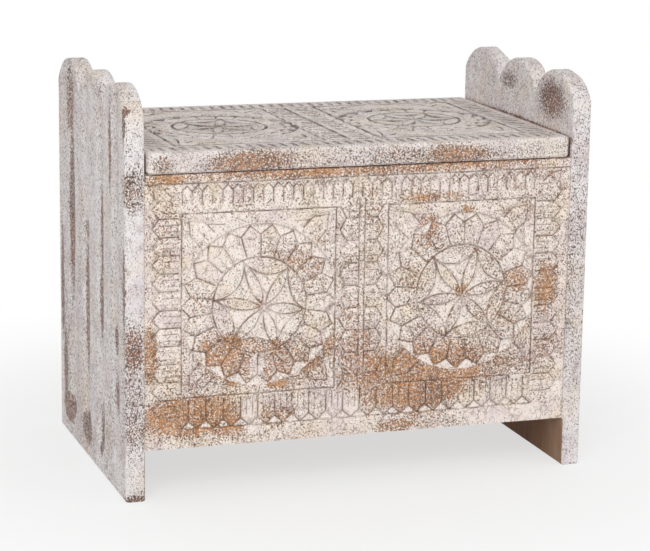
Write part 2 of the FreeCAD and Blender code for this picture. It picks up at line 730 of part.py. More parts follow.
def floor_board():
    low = (dim.floor_clear - inner_half, front_inner + dim.floor_clear, floor_under)
    high = (inner_half - dim.floor_clear, back_inner - dim.floor_clear, floor_under + dim.floor_thick)
    body = block("floor_board", low, high)
    for middle in floor_screw_rows:
        hole = countersink(body, "XZ_Plane", floor_screw_start, floor_under + dim.floor_thick, -middle,
                           dim.screw_radius, dim.screw_head, dim.floor_thick, False, True)
        row(body, [hole], "X_Axis", floor_screw_pitch, FLOOR_SCREWS)


def long_cleat(label, wall, inwards):
    """A cleat on the front board (inwards 1) or on the back board (inwards -1)."""
    near = wall + dim.cleat_width * inwards
    front, back = (wall, near) if inwards > 0 else (near, wall)
    body = block(label, (-inner_half, front, cleat_foot), (inner_half, back, floor_under))
    hole = countersink(body, "XY_Plane", long_cleat_screw, near, cleat_screw_z,
                       dim.screw_radius, dim.screw_head, dim.cleat_width, inwards < 0, True)
    row(body, [hole], "X_Axis", long_cleat_pitch, LONG_CLEAT_SCREWS)
    middle = floor_screw_rows[0 if inwards > 0 else 1]
    screw = pilot(body, "XY_Plane", floor_screw_start, middle, floor_under,
                  dim.screw_radius, dim.floor_screw_bite)
    row(body, [screw], "X_Axis", floor_screw_pitch, FLOOR_SCREWS)


def short_cleat(label, side):
    """A cleat on the left (-1) or right (1) side board."""
    near = (inner_half - dim.cleat_width) * side
    wall = inner_half * side
    left, right = (wall, near) if side < 0 else (near, wall)
    body = block(label, (left, short_cleat_start, cleat_foot), (right, short_cleat_end, floor_under))
    hole = countersink(body, "XY_Plane", near, short_cleat_screw, cleat_screw_z,
                       dim.screw_radius, dim.screw_head, dim.cleat_width, side > 0, False)
    row(body, [hole], "Y_Axis", short_cleat_pitch, SHORT_CLEAT_SCREWS)


def screw_row(body, plane, place, axis, pitch, count, shank, head, length, inwards, along_up):
    """A row of screws. place is the middle of the first head's face."""
    sketch = sketch_on(body, plane, place[0], place[1], place[2])
    screw_profile(sketch, shank, head, length, inwards, along_up)
    screw = turned(body, "Revolution", sketch, "V_Axis" if along_up else "H_Axis")
    row(body, [screw], axis, pitch, count)


def wood_screws():
    """Screws of the cleats, of the floor board and of the lid battens."""
    shank = dim.screw_radius
    head = dim.screw_head
    cleats = new_body("cleat_screws")
    length = dim.cleat_width + dim.screw_bite
    for near, inwards in ((front_inner + dim.cleat_width, False), (back_inner - dim.cleat_width, True)):
        place = (long_cleat_screw, near, cleat_screw_z)
        screw_row(cleats, "XY_Plane", place, "X_Axis", long_cleat_pitch, LONG_CLEAT_SCREWS,
                  shank, head, length, inwards, True)
    for side in (-1, 1):
        place = ((inner_half - dim.cleat_width) * side, short_cleat_screw, cleat_screw_z)
        screw_row(cleats, "XY_Plane", place, "Y_Axis", short_cleat_pitch, SHORT_CLEAT_SCREWS,
                  shank, head, length, side > 0, False)

    floor = new_body("floor_screws")
    for middle in floor_screw_rows:
        place = (floor_screw_start, floor_under + dim.floor_thick, -middle)
        screw_row(floor, "XZ_Plane", place, "X_Axis", floor_screw_pitch, FLOOR_SCREWS,
                  shank, head, dim.floor_thick + dim.floor_screw_bite, False, True)

    battens = new_body("batten_screws")
    for side in (-1, 1):
        place = (batten_screw_y, lid_under - dim.batten_thick, batten_middle * side)
        screw_row(battens, "YZ_Plane", place, "Y_Axis", batten_screw_pitch, BATTEN_SCREWS,
                  shank, head, dim.batten_thick + dim.screw_bite, True, True)


def lid_batten(label, side):
    """A batten across the lid's underside, with its lower ends bevelled."""
    body = new_body(label)
    start = batten_near if side > 0 else -(batten_near + dim.batten_width)
    sketch = sketch_on(body, "YZ_Plane", batten_front, lid_under - dim.batten_thick, start)
    bevel = dim.batten_bevel
    outline(sketch, [
        (bevel, ZERO), (batten_length - bevel, ZERO), (batten_length, bevel),
        (batten_length, dim.batten_thick), (ZERO, dim.batten_thick), (ZERO, bevel),
    ])
    pad(body, sketch, dim.batten_width)
    under = lid_under - dim.batten_thick
    hole = countersink(body, "YZ_Plane", batten_screw_y, under, batten_middle * side,
                       dim.screw_radius, dim.screw_head, dim.batten_thick, True, True)
    row(body, [hole], "Y_Axis", batten_screw_pitch, BATTEN_SCREWS)


def lid_board():
    """The seat: rounded corners and edges, with two rosette panels and rows of gouge marks on top."""
    body = new_body("lid_blank", finished=False)
    sketch = sketch_on(body, "XY_Plane", ZERO, ZERO, lid_under)
    rectangle(sketch, -lid_half, -half_depth, lid_half * 2, dim.depth)
    sketch.recompute()
    half_thick = dim.lid_thick.value / 2
    board = pad(body, sketch, dim.lid_thick)
    plan = round_edges(body, board, lambda box: box.ZLength > half_thick, dim.lid_corner_round)
    round_edges(body, plan, lambda box: box.ZLength < half_thick, dim.lid_edge_round)
    bite = dim.leaf_screw_length - dim.leaf_thick
    for start in leaf_screw_starts:
        screw = pilot(body, "XY_Plane", start, lid_leaf_screw_y, lid_under,
                      dim.leaf_screw_radius, bite, True)
        row(body, [screw], "X_Axis", leaf_screw_pitch, LEAF_SCREWS)
    for side in (-1, 1):
        screw = pilot(body, "XY_Plane", batten_middle * side, batten_screw_y, lid_under,
                      dim.screw_radius, dim.screw_bite, True)
        row(body, [screw], "Y_Axis", batten_screw_pitch, BATTEN_SCREWS)

    out = dim.seat_height
    depth = dim.lid_carve_depth

    def spot(across, up):
        """A place on the lid's top."""
        return FreeCAD.Vector(across, up, out.value)

    leaves = LeafCuts(spot, FreeCAD.Vector(0, 0, -1), depth)
    half_wide = (frame_outer - dim.frame_half_gap) / 2
    half_high = half_depth - dim.lid_frame_margin
    for side, turn, ring_turn, ring_leaves in LID_ROSETTES:
        middle = (frame_middle * side, ZERO)
        frame_groove(body, "XY_Plane", middle, out, half_wide, half_high, depth)
        rosette(body, "XY_Plane", middle, out, turn, depth)
        leaves.ring(middle, ring_turn, ring_leaves)
    fillet_line = (-dim.groove_width / 2, -half_high)
    line_groove(body, "XY_Plane", fillet_line, out, dim.groove_width, half_high * 2, depth)
    leaves.ticks(dim.tick_margin - half_depth, frame_outer * 2)
    leaves.ticks(half_depth - dim.tick_margin - dim.tick_length, frame_outer * 2)
    leaves.ticks(dim.tick_end_margin - lid_half, half_high * 2, at_end=True)
    leaves.ticks(lid_half - dim.tick_end_margin - dim.tick_length, half_high * 2, at_end=True)
    leaves.take_out_of(body, "lid_board")


# Hinges
def hinge_leaf(label, start, on_lid):
    """A leaf with its knuckles, down the back board or, on_lid, along the lid's underside."""
    body = new_body(label)
    edge = dim.leaf_reach
    neck = dim.knuckle_radius + dim.hinge_clear
    seat = dim.knuckle_radius + dim.hinge_clear
    root = seat - dim.leaf_thick
    first = 1 if on_lid else 0
    count = KNUCKLES // 2 if on_lid else KNUCKLES - KNUCKLES // 2

    def leaf_strip(begin, near, far, length):
        """A flat strip of the leaf, from near to far of the pin."""
        strip = sketch_on(body, "YZ_Plane", pin_y, pin_z, begin)
        if on_lid:
            rectangle(strip, -far, root, far - near, dim.leaf_thick)
        else:
            rectangle(strip, -seat, -far, dim.leaf_thick, far - near)
        return pad(body, strip, length)

    leaf_strip(start, neck, edge, dim.hinge_length)
    begin = start + knuckle_pitch * first + dim.knuckle_gap / 2
    tongue = leaf_strip(begin, ZERO, neck, knuckle_length)
    barrel_sketch = sketch_on(body, "YZ_Plane", pin_y, pin_z, begin)
    circle(barrel_sketch, dim.knuckle_radius)
    barrel = pad(body, barrel_sketch, knuckle_length)
    row(body, [tongue, barrel], "X_Axis", knuckle_pitch * 2, count)
    drill(body, "YZ_Plane", pin_y, pin_z, start - dim.overrun, dim.pin_radius + dim.pin_clear,
          dim.hinge_length + dim.overrun * 2, True)

    screw_start = start + dim.leaf_screw_inset
    if on_lid:
        hole = countersink(body, "XZ_Plane", screw_start, lid_under - dim.leaf_thick, -lid_leaf_screw_y,
                           dim.leaf_screw_radius, dim.leaf_screw_head, dim.leaf_thick, True, True)
    else:
        hole = countersink(body, "XY_Plane", screw_start, back_outer + dim.leaf_thick, box_leaf_screw_z,
                           dim.leaf_screw_radius, dim.leaf_screw_head, dim.leaf_thick, False, True)
    row(body, [hole], "X_Axis", leaf_screw_pitch, LEAF_SCREWS)


def hinge_pin(label, start):
    """A plain pin with a flat head at both ends."""
    body = new_body(label)
    shaft = sketch_on(body, "YZ_Plane", pin_y, pin_z, start)
    circle(shaft, dim.pin_radius)
    pad(body, shaft, dim.hinge_length)
    for place in (start - dim.pin_head_thick, start + dim.hinge_length):
        head = sketch_on(body, "YZ_Plane", pin_y, pin_z, place)
        circle(head, dim.pin_head_radius)
        pad(body, head, dim.pin_head_thick)


def hinges():
    """Two hinges, with the screws of their leaves."""
    for side, start in (("left", left_hinge_start), ("right", hinge_start)):
        hinge_leaf(f"{side}_hinge_box_leaf", start, False)
        hinge_leaf(f"{side}_hinge_lid_leaf", start, True)
        hinge_pin(f"{side}_hinge_pin", start)
    box_screws = new_body("box_leaf_screws")
    lid_screws = new_body("lid_leaf_screws")
    for start in leaf_screw_starts:
        place = (start, back_outer + dim.leaf_thick, box_leaf_screw_z)
        screw_row(box_screws, "XY_Plane", place, "X_Axis", leaf_screw_pitch, LEAF_SCREWS,
                  dim.leaf_screw_radius, dim.leaf_screw_head, dim.leaf_screw_length, False, True)
        place = (start, lid_under - dim.leaf_thick, -lid_leaf_screw_y)
        screw_row(lid_screws, "XZ_Plane", place, "X_Axis", leaf_screw_pitch, LEAF_SCREWS,
                  dim.leaf_screw_radius, dim.leaf_screw_head, dim.leaf_screw_length, True, True)


def build():
    side_board("left_side_board", -1)
    side_board("right_side_board", 1)
    front_board()
    back_board()
    floor_board()
    long_cleat("front_cleat", front_inner, 1)
    long_cleat("back_cleat", back_inner, -1)
    short_cleat("left_cleat", -1)
    short_cleat("right_cleat", 1)
    lid_board()
    lid_batten("left_lid_batten", -1)
    lid_batten("right_lid_batten", 1)
    hinges()
    wood_screws()
    dowels("front_dowels", front_middle)
    dowels("back_dowels", back_middle)


def check():
    """Stop if any object failed, any cut missed the wood, or any piece is not a sound solid."""
    for thing in doc.Objects:
        if "Invalid" in thing.State or "Error" in thing.State:
            raise RuntimeError(f"{thing.Label} failed: {thing.State}")
        if thing.TypeId in ("PartDesign::Pocket", "PartDesign::Groove"):
            if thing.Shape.Volume >= thing.BaseFeature.Shape.Volume:
                raise RuntimeError(f"{thing.Label} cuts nothing")
    for piece in pieces:
        if piece.Shape.isNull() or not piece.Shape.isValid() or not piece.Shape.Solids:
            raise RuntimeError(f"{piece.Label} is not a sound solid")


def export():
    os.makedirs("parts", exist_ok=True)
    for piece in pieces:
        piece.Shape.exportStep(f"parts/{piece.Label}.step")
        print(f"{piece.Label}: {len(piece.Shape.Solids)} solids, {piece.Shape.BoundBox}")


build()
doc.recompute()
check()
export()
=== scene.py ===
"""Looks of a carved chest bench: chalk-white paint, rubbed through to brown wood, over hand-cut relief."""

import logging
import math
from dataclasses import dataclass, field
from enum import Enum
from functools import partial
from typing import Callable, Optional, Sequence, Union

import bmesh
import bpy
from mathutils import Matrix, Vector


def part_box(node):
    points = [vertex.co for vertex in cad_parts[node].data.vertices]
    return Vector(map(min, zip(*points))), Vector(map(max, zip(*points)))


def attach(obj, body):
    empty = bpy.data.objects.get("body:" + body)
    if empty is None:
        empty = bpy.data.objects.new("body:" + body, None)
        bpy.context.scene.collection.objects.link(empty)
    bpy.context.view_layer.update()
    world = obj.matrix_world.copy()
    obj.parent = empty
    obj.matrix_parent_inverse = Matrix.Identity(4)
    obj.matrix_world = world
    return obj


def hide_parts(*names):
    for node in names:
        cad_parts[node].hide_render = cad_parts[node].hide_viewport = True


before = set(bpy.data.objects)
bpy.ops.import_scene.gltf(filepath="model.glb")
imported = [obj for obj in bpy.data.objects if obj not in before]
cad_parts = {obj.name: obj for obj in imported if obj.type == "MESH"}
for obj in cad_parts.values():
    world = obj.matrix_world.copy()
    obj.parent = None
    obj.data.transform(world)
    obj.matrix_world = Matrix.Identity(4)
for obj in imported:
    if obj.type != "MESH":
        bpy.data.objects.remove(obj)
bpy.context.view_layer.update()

log = logging.getLogger("chest_bench")

MM = 0.001

Span = tuple[float, float]
Triple = tuple[float, float, float]
Colour = tuple[float, float, float, float]
Number = Union["Field", float]
Value = Union["Field", bpy.types.NodeSocket, bpy.types.Material, float, int, bool, str, Sequence[float]]

WHITE: Colour = (1.0, 1.0, 1.0, 1.0)


class Body(Enum):
    """The two bodies that the hinges join."""

    CARCASS = "carcass"
    LID = "lid"


class Slot(Enum):
    """The finishes of the pieces that are made here."""

    PAINTED_WOOD = "painted_wood"
    SCREW_STEEL = "screw_steel"


class Side(Enum):
    """Which half of the bench a piece is on; the value is the sign of x there."""

    LEFT = -1
    RIGHT = 1

    @property
    def word(self) -> str:
        """The side's name in a piece's name."""
        return self.name.lower()


class Axis(Enum):
    """A direction of the frame, as the index of its coordinate."""

    X = 0
    Y = 1
    Z = 2


class MathStep(Enum):
    """Arithmetic that one node can do."""

    ADD = "ADD"
    SUBTRACT = "SUBTRACT"
    MULTIPLY = "MULTIPLY"
    DIVIDE = "DIVIDE"
    LEAST = "MINIMUM"
    MOST = "MAXIMUM"
    SIZE = "ABSOLUTE"
    ROOT = "SQRT"
    SINE = "SINE"
    COSINE = "COSINE"
    BEARING = "ARCTAN2"
    REMAINDER = "FLOORED_MODULO"
    SIGN = "SIGN"
    OVER = "GREATER_THAN"
    UNDER = "LESS_THAN"


class TreeKind(Enum):
    """What a node tree is for."""

    SHAPE = "GeometryNodeTree"
    FINISH = "ShaderNodeTree"


class SocketKind(Enum):
    """What a socket of a node tree carries."""

    NUMBER = "NodeSocketFloat"
    VECTOR = "NodeSocketVector"
    SHAPE = "NodeSocketGeometry"


def arithmetic(step: MathStep, flipped: bool = False) -> Callable[..., "Field"]:
    """A method of a field that does one step of arithmetic.

    Args:
        step: The step.
        flipped: Whether the other value comes first.

    Returns:
        The method, which takes the other value where the step needs one.
    """

    def method(self: "Field", *others: Number) -> "Field":
        """The result of the step."""
        return self.bench.math(step, *(others + (self,) if flipped else (self,) + others))

    return method


class Field:
    """One value of a node tree, worked out from others with ordinary arithmetic."""

    def __init__(self, bench: "Bench", socket: bpy.types.NodeSocket) -> None:
        """Keeps the bench that builds the tree and the socket that gives the value."""
        self.bench = bench
        self.socket = socket

    __add__ = arithmetic(MathStep.ADD)
    __radd__ = arithmetic(MathStep.ADD, flipped=True)
    __sub__ = arithmetic(MathStep.SUBTRACT)
    __rsub__ = arithmetic(MathStep.SUBTRACT, flipped=True)
    __mul__ = arithmetic(MathStep.MULTIPLY)
    __truediv__ = arithmetic(MathStep.DIVIDE)
    __abs__ = arithmetic(MathStep.SIZE)
    least = arithmetic(MathStep.LEAST)
    most = arithmetic(MathStep.MOST)
    root = arithmetic(MathStep.ROOT)
    sine = arithmetic(MathStep.SINE)
    cosine = arithmetic(MathStep.COSINE)
    bearing = arithmetic(MathStep.BEARING)
    remainder = arithmetic(MathStep.REMAINDER)
    sign = arithmetic(MathStep.SIGN)
    over = arithmetic(MathStep.OVER)
    under = arithmetic(MathStep.UNDER)

    def between(self, low: float, high: float) -> "Field":
        """One where the value lies between two levels, and nothing elsewhere."""
        return self.over(low) * self.under(high)

    def past(self, level: Number) -> "Field":
        """How far the value is past a level, and nothing before it."""
        return (self - level).most(0.0)

    def share(self) -> "Field":
        """The value held between nothing and one."""
        return self.least(1.0).most(0.0)

    def nearest(self, pitch: float) -> "Field":
        """How far the value lies from the nearest multiple of a pitch."""
        return (self + pitch / 2).remainder(pitch) - pitch / 2

    def smooth(self, low: Number, high: Number) -> "Field":
        """A soft step from nothing at one level to one at another."""
        values = {"Value": self, "From Min": low, "From Max": high}
        return self.bench.value("ShaderNodeMapRange", values, interpolation_type="SMOOTHSTEP")


def hypotenuse(one: Field, other: Field) -> Field:
    """The length of the long side of a right triangle."""
    return (one * one + other * other).root()


def rounded(past: Field, radius: float) -> Field:
    """How far a rounded edge has fallen away at a distance past its start."""
    return radius - (radius ** 2 - past * past).most(0.0).root()


class Bench:
    """A node tree being built, with short ways to place and join its nodes."""

    # Where a mix node has its colours, among the sockets for other kinds of values.
    MIX_FIRST, MIX_SECOND, MIX_RESULT = 6, 7, 2

    def __init__(self, tree: bpy.types.NodeTree) -> None:
        """Starts with a tree as it is.

        Args:
            tree: The tree.
        """
        self.tree = tree
        self.entry: Optional[bpy.types.Node] = None
        self.sizes: dict[str, float] = {}

    @classmethod
    def group(cls, name: str, kind: TreeKind) -> "Bench":
        """A bench with a new tree that takes inputs.

        Args:
            name: The tree's name.
            kind: What the tree is for.

        Returns:
            The bench, with its input node in place.
        """
        bench = cls(bpy.data.node_groups.new(name, kind.value))
        bench.entry = bench.tree.nodes.new("NodeGroupInput")
        return bench

    def take(self, kind: SocketKind, *names: str) -> list[Field]:
        """Named inputs of the tree.

        Args:
            kind: What they carry.
            *names: Their names.

        Returns:
            Their values inside the tree.
        """
        for name in names:
            self.tree.interface.new_socket(name, in_out="INPUT", socket_type=kind.value)
        return [Field(self, self.entry.outputs[name]) for name in names]

    def size(self, name: str, value: float) -> Field:
        """A named size of the tree, in metres or as a plain number.

        Args:
            name: The input's name.
            value: What the input is set to.

        Returns:
            The input's value inside the tree.
        """
        kind = SocketKind.NUMBER.value
        socket = self.tree.interface.new_socket(name, in_out="INPUT", socket_type=kind)
        socket.default_value = value
        self.sizes[socket.identifier] = value
        return Field(self, self.entry.outputs[name])

    def give(self, kind: SocketKind, **results: Field) -> bpy.types.NodeTree:
        """Puts out the tree's results.

        Args:
            kind: What they carry.
            **results: Each result, under its name.

        Returns:
            The finished tree.
        """
        end = self.tree.nodes.new("NodeGroupOutput")
        for name, value in results.items():
            self.tree.interface.new_socket(name, in_out="OUTPUT", socket_type=kind.value)
            self.put(end.inputs[name], value)
        return self.tree

    def put(self, socket: bpy.types.NodeSocket, value: Value) -> None:
        """Joins a value to a socket, or sets the socket to a plain one.

        Args:
            socket: The socket.
            value: What goes into it.
        """
        if isinstance(value, (Field, bpy.types.NodeSocket)):
            self.tree.links.new(value.socket if isinstance(value, Field) else value, socket)
        else:
            socket.default_value = value

    def node(self, kind: str, inputs: Optional[dict] = None, **settings: object) -> bpy.types.Node:
        """Places one node.

        Args:
            kind: The node's type.
            inputs: What goes into its sockets, by name or by number.
            **settings: The node's own settings.

        Returns:
            The node.
        """
        node = self.tree.nodes.new(kind)
        for name, setting in settings.items():
            setattr(node, name, setting)
        for name, value in (inputs or {}).items():
            self.put(node.inputs[name], value)
        return node

    def value(
        self, kind: str, inputs: Optional[dict] = None, output: Union[int, str] = 0, **settings: object,
    ) -> Field:
        """Places one node and gives one of its results."""
        return Field(self, self.node(kind, inputs, **settings).outputs[output])

    def found(self, kind: str) -> bpy.types.Node:
        """The tree's own node of one type."""
        return next(node for node in self.tree.nodes if node.bl_idname == kind)

    def math(self, step: MathStep, *values: Number) -> Field:
        """One step of arithmetic on values or plain numbers."""
        return self.value("ShaderNodeMath", dict(enumerate(values)), operation=step.value)

    def split(self, vector: Value) -> list[Field]:
        """The three coordinates of a vector."""
        return [Field(self, part) for part in self.node("ShaderNodeSeparateXYZ", {0: vector}).outputs]

    def join(self, x: Number, y: Number, z: Number) -> Field:
        """A vector from three coordinates."""
        return self.value("ShaderNodeCombineXYZ", {0: x, 1: y, 2: z})

    def scaled(self, vector: Value, factors: Triple) -> Field:
        """A vector with each coordinate times a factor of its own."""
        return self.value("ShaderNodeVectorMath", {0: vector, 1: factors}, operation="MULTIPLY")

    def spot(self) -> Field:
        """Where a finish is seen, in the bench's frame."""
        return self.value("ShaderNodeTexCoord", output="Object")

    def noise(
        self, vector: Value, size: Number, seed: Number, detail: float = 2.0, rough: float = 0.5,
    ) -> Field:
        """A cloudy value round one half.

        Args:
            vector: Where it is read.
            size: How large its clouds are.
            seed: Which of many such patterns it is.
            detail: How many finer layers it has.
            rough: How strong the finer layers are.

        Returns:
            The value.
        """
        scale = self.math(MathStep.DIVIDE, 1.0, size)
        inputs = {"Vector": vector, "W": seed, "Scale": scale, "Detail": detail, "Roughness": rough}
        return self.value("ShaderNodeTexNoise", inputs, noise_dimensions="4D")

    def tint(self, share: Number, first: Value, second: Value) -> Field:
        """A colour between two: all of the first at a share of nothing, all of the second at one."""
        inputs = {0: share, self.MIX_FIRST: first, self.MIX_SECOND: second}
        return self.value("ShaderNodeMix", inputs, self.MIX_RESULT, data_type="RGBA")

    def effect(self, group: bpy.types.NodeTree, inputs: dict[str, Value]) -> list[Field]:
        """The results of a shared effect with its own values."""
        return [Field(self, end) for end in self.node("ShaderNodeGroup", inputs, node_tree=group).outputs]


@dataclass
class Cut:
    """A cut into a board: its depth, and how near and how far inside it a place lies."""

    depth: Field
    near: Field
    hollow: Field

    def also(self, other: "Cut") -> "Cut":
        """Both cuts together."""
        return Cut(self.depth.most(other.depth), self.near.most(other.near), self.hollow.most(other.hollow))

    def faint(self, edge: float, inside: float = 1.0) -> "Cut":
        """The same cut with less grime and painted shade along its edge and inside it."""
        return Cut(self.depth, self.near * edge, self.hollow * inside)

    def only(self, window: Field) -> "Cut":
        """The cut where a window is one, and none where it is nothing."""
        return Cut(self.depth * window, self.near * window, self.hollow * window)


@dataclass(frozen=True)
class Gouge:
    """The carver's tools: how wide and deep the lines and hollows are."""

    line_width: float = 3.2 * MM
    line_depth: float = 2.5 * MM
    slope: float = 7.0 * MM
    steep: float = 1.6 * MM
    pillow: float = 6.0 * MM
    pillow_depth: float = 1.3 * MM
    hollow_depth: float = 3.6 * MM
    wall: float = 2.0 * MM
    stroke_width: float = 2.2 * MM
    stroke_depth: float = 1.1 * MM
    stroke_share: float = 0.93
    edge_share: float = 1.0
    feather: float = 4.0 * MM

    def near(self, distance: Field) -> Field:
        """How near a line is: one on it, nothing at the feather's reach."""
        return (1.0 - abs(distance) / self.feather).share()

    def line(self, distance: Field) -> Cut:
        """A grooved line with even sides, along which a distance is nothing."""
        part = (1.0 - abs(distance) / (self.line_width / 2)).share()
        return Cut(part * self.line_depth, self.near(distance), part * 0.0)

    def stroke(self, distance: Field) -> Cut:
        """A fine shallow line along which a distance is nothing."""
        part = (1.0 - distance / (self.stroke_width / 2)).share()
        return Cut(part * self.stroke_depth, self.near(distance) * self.stroke_share, part * 0.0)

    def edge(self, inside: Field) -> Cut:
        """The outline of a leaf: steep and rounded on the leaf's side, and a long slope outside it.

        Args:
            inside: Distance inside the outline.

        Returns:
            The cut.
        """
        part = (1.0 - inside / self.steep).least(1.0 + inside / self.slope).share()
        swell = abs(inside).smooth(self.pillow, 0.0) * self.pillow_depth
        return Cut(part * self.line_depth + swell, self.near(inside) * self.edge_share, part * 0.0)

    def sink(self, inside: Field) -> Cut:
        """A flat hollow with sloping walls, where a distance from its edge is more than nothing."""
        part = (inside / self.wall).share()
        return Cut(part * self.hollow_depth, self.near(inside) * self.edge_share, part)


def gable(across: Field, along: Field, half_width: float, shoulder: float, tip: float) -> Field:
    """How far inside the two slopes of a leaf's pointed end a place lies."""
    rise = tip - shoulder
    return ((tip - along) * half_width - abs(across) * rise) / math.hypot(half_width, rise)


def house(across: Field, along: Field, half_width: float, shoulder: float, tip: float) -> Field:
    """How far inside a straight leaf with a pointed end a place lies."""
    return (half_width - abs(across)).least(gable(across, along, half_width, shoulder, tip))


def arc_radius(half_chord: float, rise: float) -> float:
    """The radius of an arc that rises so far over its chord."""
    return (half_chord ** 2 + rise ** 2) / (2 * rise)


def almond(across: Field, along: Field, half_width: float, half_length: float) -> Field:
    """How far inside a shape of two equal arcs a place lies, seen from the shape's middle."""
    radius = arc_radius(half_length, half_width)
    return radius - hypotenuse(abs(across) + (radius - half_width), along)


@dataclass(frozen=True)
class LeafRow:
    """A row of pointed leaves, side by side, each with two strokes from its root unless it is plain."""

    root: float
    shoulder: float
    tip: float
    pitch: float
    first: float
    low: float
    high: float
    points_up: bool = True
    plain: bool = False
    chipped: bool = False
    stroke_share: float = 0.62
    stroke_spread: float = 0.36

    def cut(self, gouge: Gouge, across: Field, along: Field) -> Cut:
        """The row's cuts.

        Args:
            gouge: The tools that cut it.
            across: The coordinate that runs along the row.
            along: The coordinate that the leaves point along.

        Returns:
            The cuts, within the row's own stretch.
        """
        half_width = self.pitch / 2
        offset = (across - self.first).nearest(self.pitch)
        rise = along - self.root if self.points_up else self.root - along
        shoulder, tip = abs(self.shoulder - self.root), abs(self.tip - self.root)
        cut = gouge.edge(house(offset, rise, half_width, shoulder, tip))
        if self.chipped:
            point = gable(offset, rise, half_width, shoulder, tip)
            cut = cut.also(gouge.sink((0.0 - point).least(tip - rise)))
        if not self.plain:
            past_end = rise.past(tip * self.stroke_share)
            beside = abs(offset) - half_width * self.stroke_spread
            cut = cut.also(gouge.stroke(hypotenuse(beside, past_end)))
        return cut.only(rise.between(0.0, tip + gouge.slope) * across.between(self.low, self.high))


@dataclass(frozen=True)
class TickRow:
    """A row of slanting gouge marks."""

    middle: float
    reach: float
    pitch: float
    slant: float
    low: float
    high: float
    half_width: float = 2.0 * MM

    def cut(self, gouge: Gouge, across: Field, along: Field) -> Cut:
        """The row's cuts.

        Args:
            gouge: The tools that cut it.
            across: The coordinate that runs along the row.
            along: The coordinate across it.

        Returns:
            The cuts, within the row's own stretch.
        """
        up = along - self.middle
        offset = (across - up * self.slant).nearest(self.pitch)
        mark = gouge.sink(self.half_width - hypotenuse(offset, abs(up).past(self.reach)))
        return mark.only(across.between(self.low, self.high))


@dataclass(frozen=True)
class Rosette:
    """A star of six petals drawn with compasses, in a circle, in a ring of pointed leaves."""

    across: float
    up: float
    turn: float
    ring_turn: float = 0.0
    ring_leaves: int = 21
    off_across: float = 0.0
    off_up: float = 0.0
    ground_share: float = 0.5
    circle: float = 59.5 * MM
    petals: int = 6
    petal_start: float = 4.0 * MM
    petal_end: float = 55.0 * MM
    petal_half_width: float = 6.6 * MM
    lens_inner: float = 40.0 * MM
    star_margin: float = 0.2
    ring_root: float = 62.0 * MM
    ring_shoulder: float = 86.5 * MM
    ring_tip: float = 99.0 * MM
    ring_rim: float = 101.0 * MM
    wing_reach: float = 6.0 * MM
    wing_place: float = 82.0 * MM
    wing_lift: float = 0.35
    rim_share: float = 0.84

    def star(self, gouge: Gouge, reach: Field, bearing: Field) -> Cut:
        """The six petals, the lenses between their tips, and the sunk ground round them.

        Args:
            gouge: The tools that cut them.
            reach: Distance from the rosette's centre.
            bearing: Angle round the centre.

        Returns:
            The cuts inside the circle.
        """
        step = 2 * math.pi / self.petals
        angle = (bearing - self.turn).nearest(step)
        middle = (self.petal_start + self.petal_end) / 2
        half_length = (self.petal_end - self.petal_start) / 2
        along = reach * angle.cosine() - middle
        petal = almond(reach * angle.sine(), along, self.petal_half_width, half_length)
        gap = (bearing - self.turn - step / 2).nearest(step)
        depth = self.circle * math.cos(step / 2) - self.lens_inner
        far = (self.circle ** 2 - self.lens_inner ** 2) / (2 * depth)
        bow = far - self.lens_inner - hypotenuse(reach * gap.cosine() - far, reach * gap.sine())
        lens = (self.circle - reach).least(bow)
        ground = (self.circle - reach).least(0.0 - petal.most(lens))
        return gouge.sink(ground).faint(1.0, self.ground_share).also(gouge.line(reach - self.circle))

    def ring(self, gouge: Gouge, reach: Field, bearing: Field) -> Cut:
        """The ring of leaves, each with a small winged mark, and the chips between their tips.

        Args:
            gouge: The tools that cut them.
            reach: Distance from the rosette's centre.
            bearing: Angle round the centre.

        Returns:
            The cuts outside the circle.
        """
        step = 2 * math.pi / self.ring_leaves
        angle = (bearing - self.ring_turn).nearest(step)
        across, along = reach * angle.sine(), reach * angle.cosine()
        half_width = self.ring_shoulder * math.tan(step / 2)
        point = gable(across, along, half_width, self.ring_shoulder, self.ring_tip)
        side = reach * (step / 2 - abs(angle))
        leaf = gouge.edge(side.least(point)).only(reach.between(self.ring_root, self.ring_rim))
        chip = gouge.sink((0.0 - point).least(self.ring_rim - reach)).faint(self.rim_share)
        lift = abs(along - abs(across) * self.wing_lift - self.wing_place)
        wing = gouge.stroke(hypotenuse(lift, abs(across).past(self.wing_reach)))
        return leaf.also(chip).also(wing)

    def cut(self, gouge: Gouge, x: Field, y: Field) -> Cut:
        """All of the rosette's cuts.

        Args:
            gouge: The tools that cut them.
            x: The coordinate along the board.
            y: The coordinate up the board.

        Returns:
            The cuts; the star's own centre is shifted a little within its ring.
        """
        right, up = x - self.across, y - self.up
        reach = hypotenuse(right, up)
        ring = self.ring(gouge, reach, up.bearing(right))
        middle = 1.0 - reach * reach / self.circle ** 2
        right, up = right - middle * self.off_across, up - middle * self.off_up
        star = self.star(gouge, hypotenuse(right, up), up.bearing(right))
        return star.only(middle.over(-self.star_margin)).also(ring)


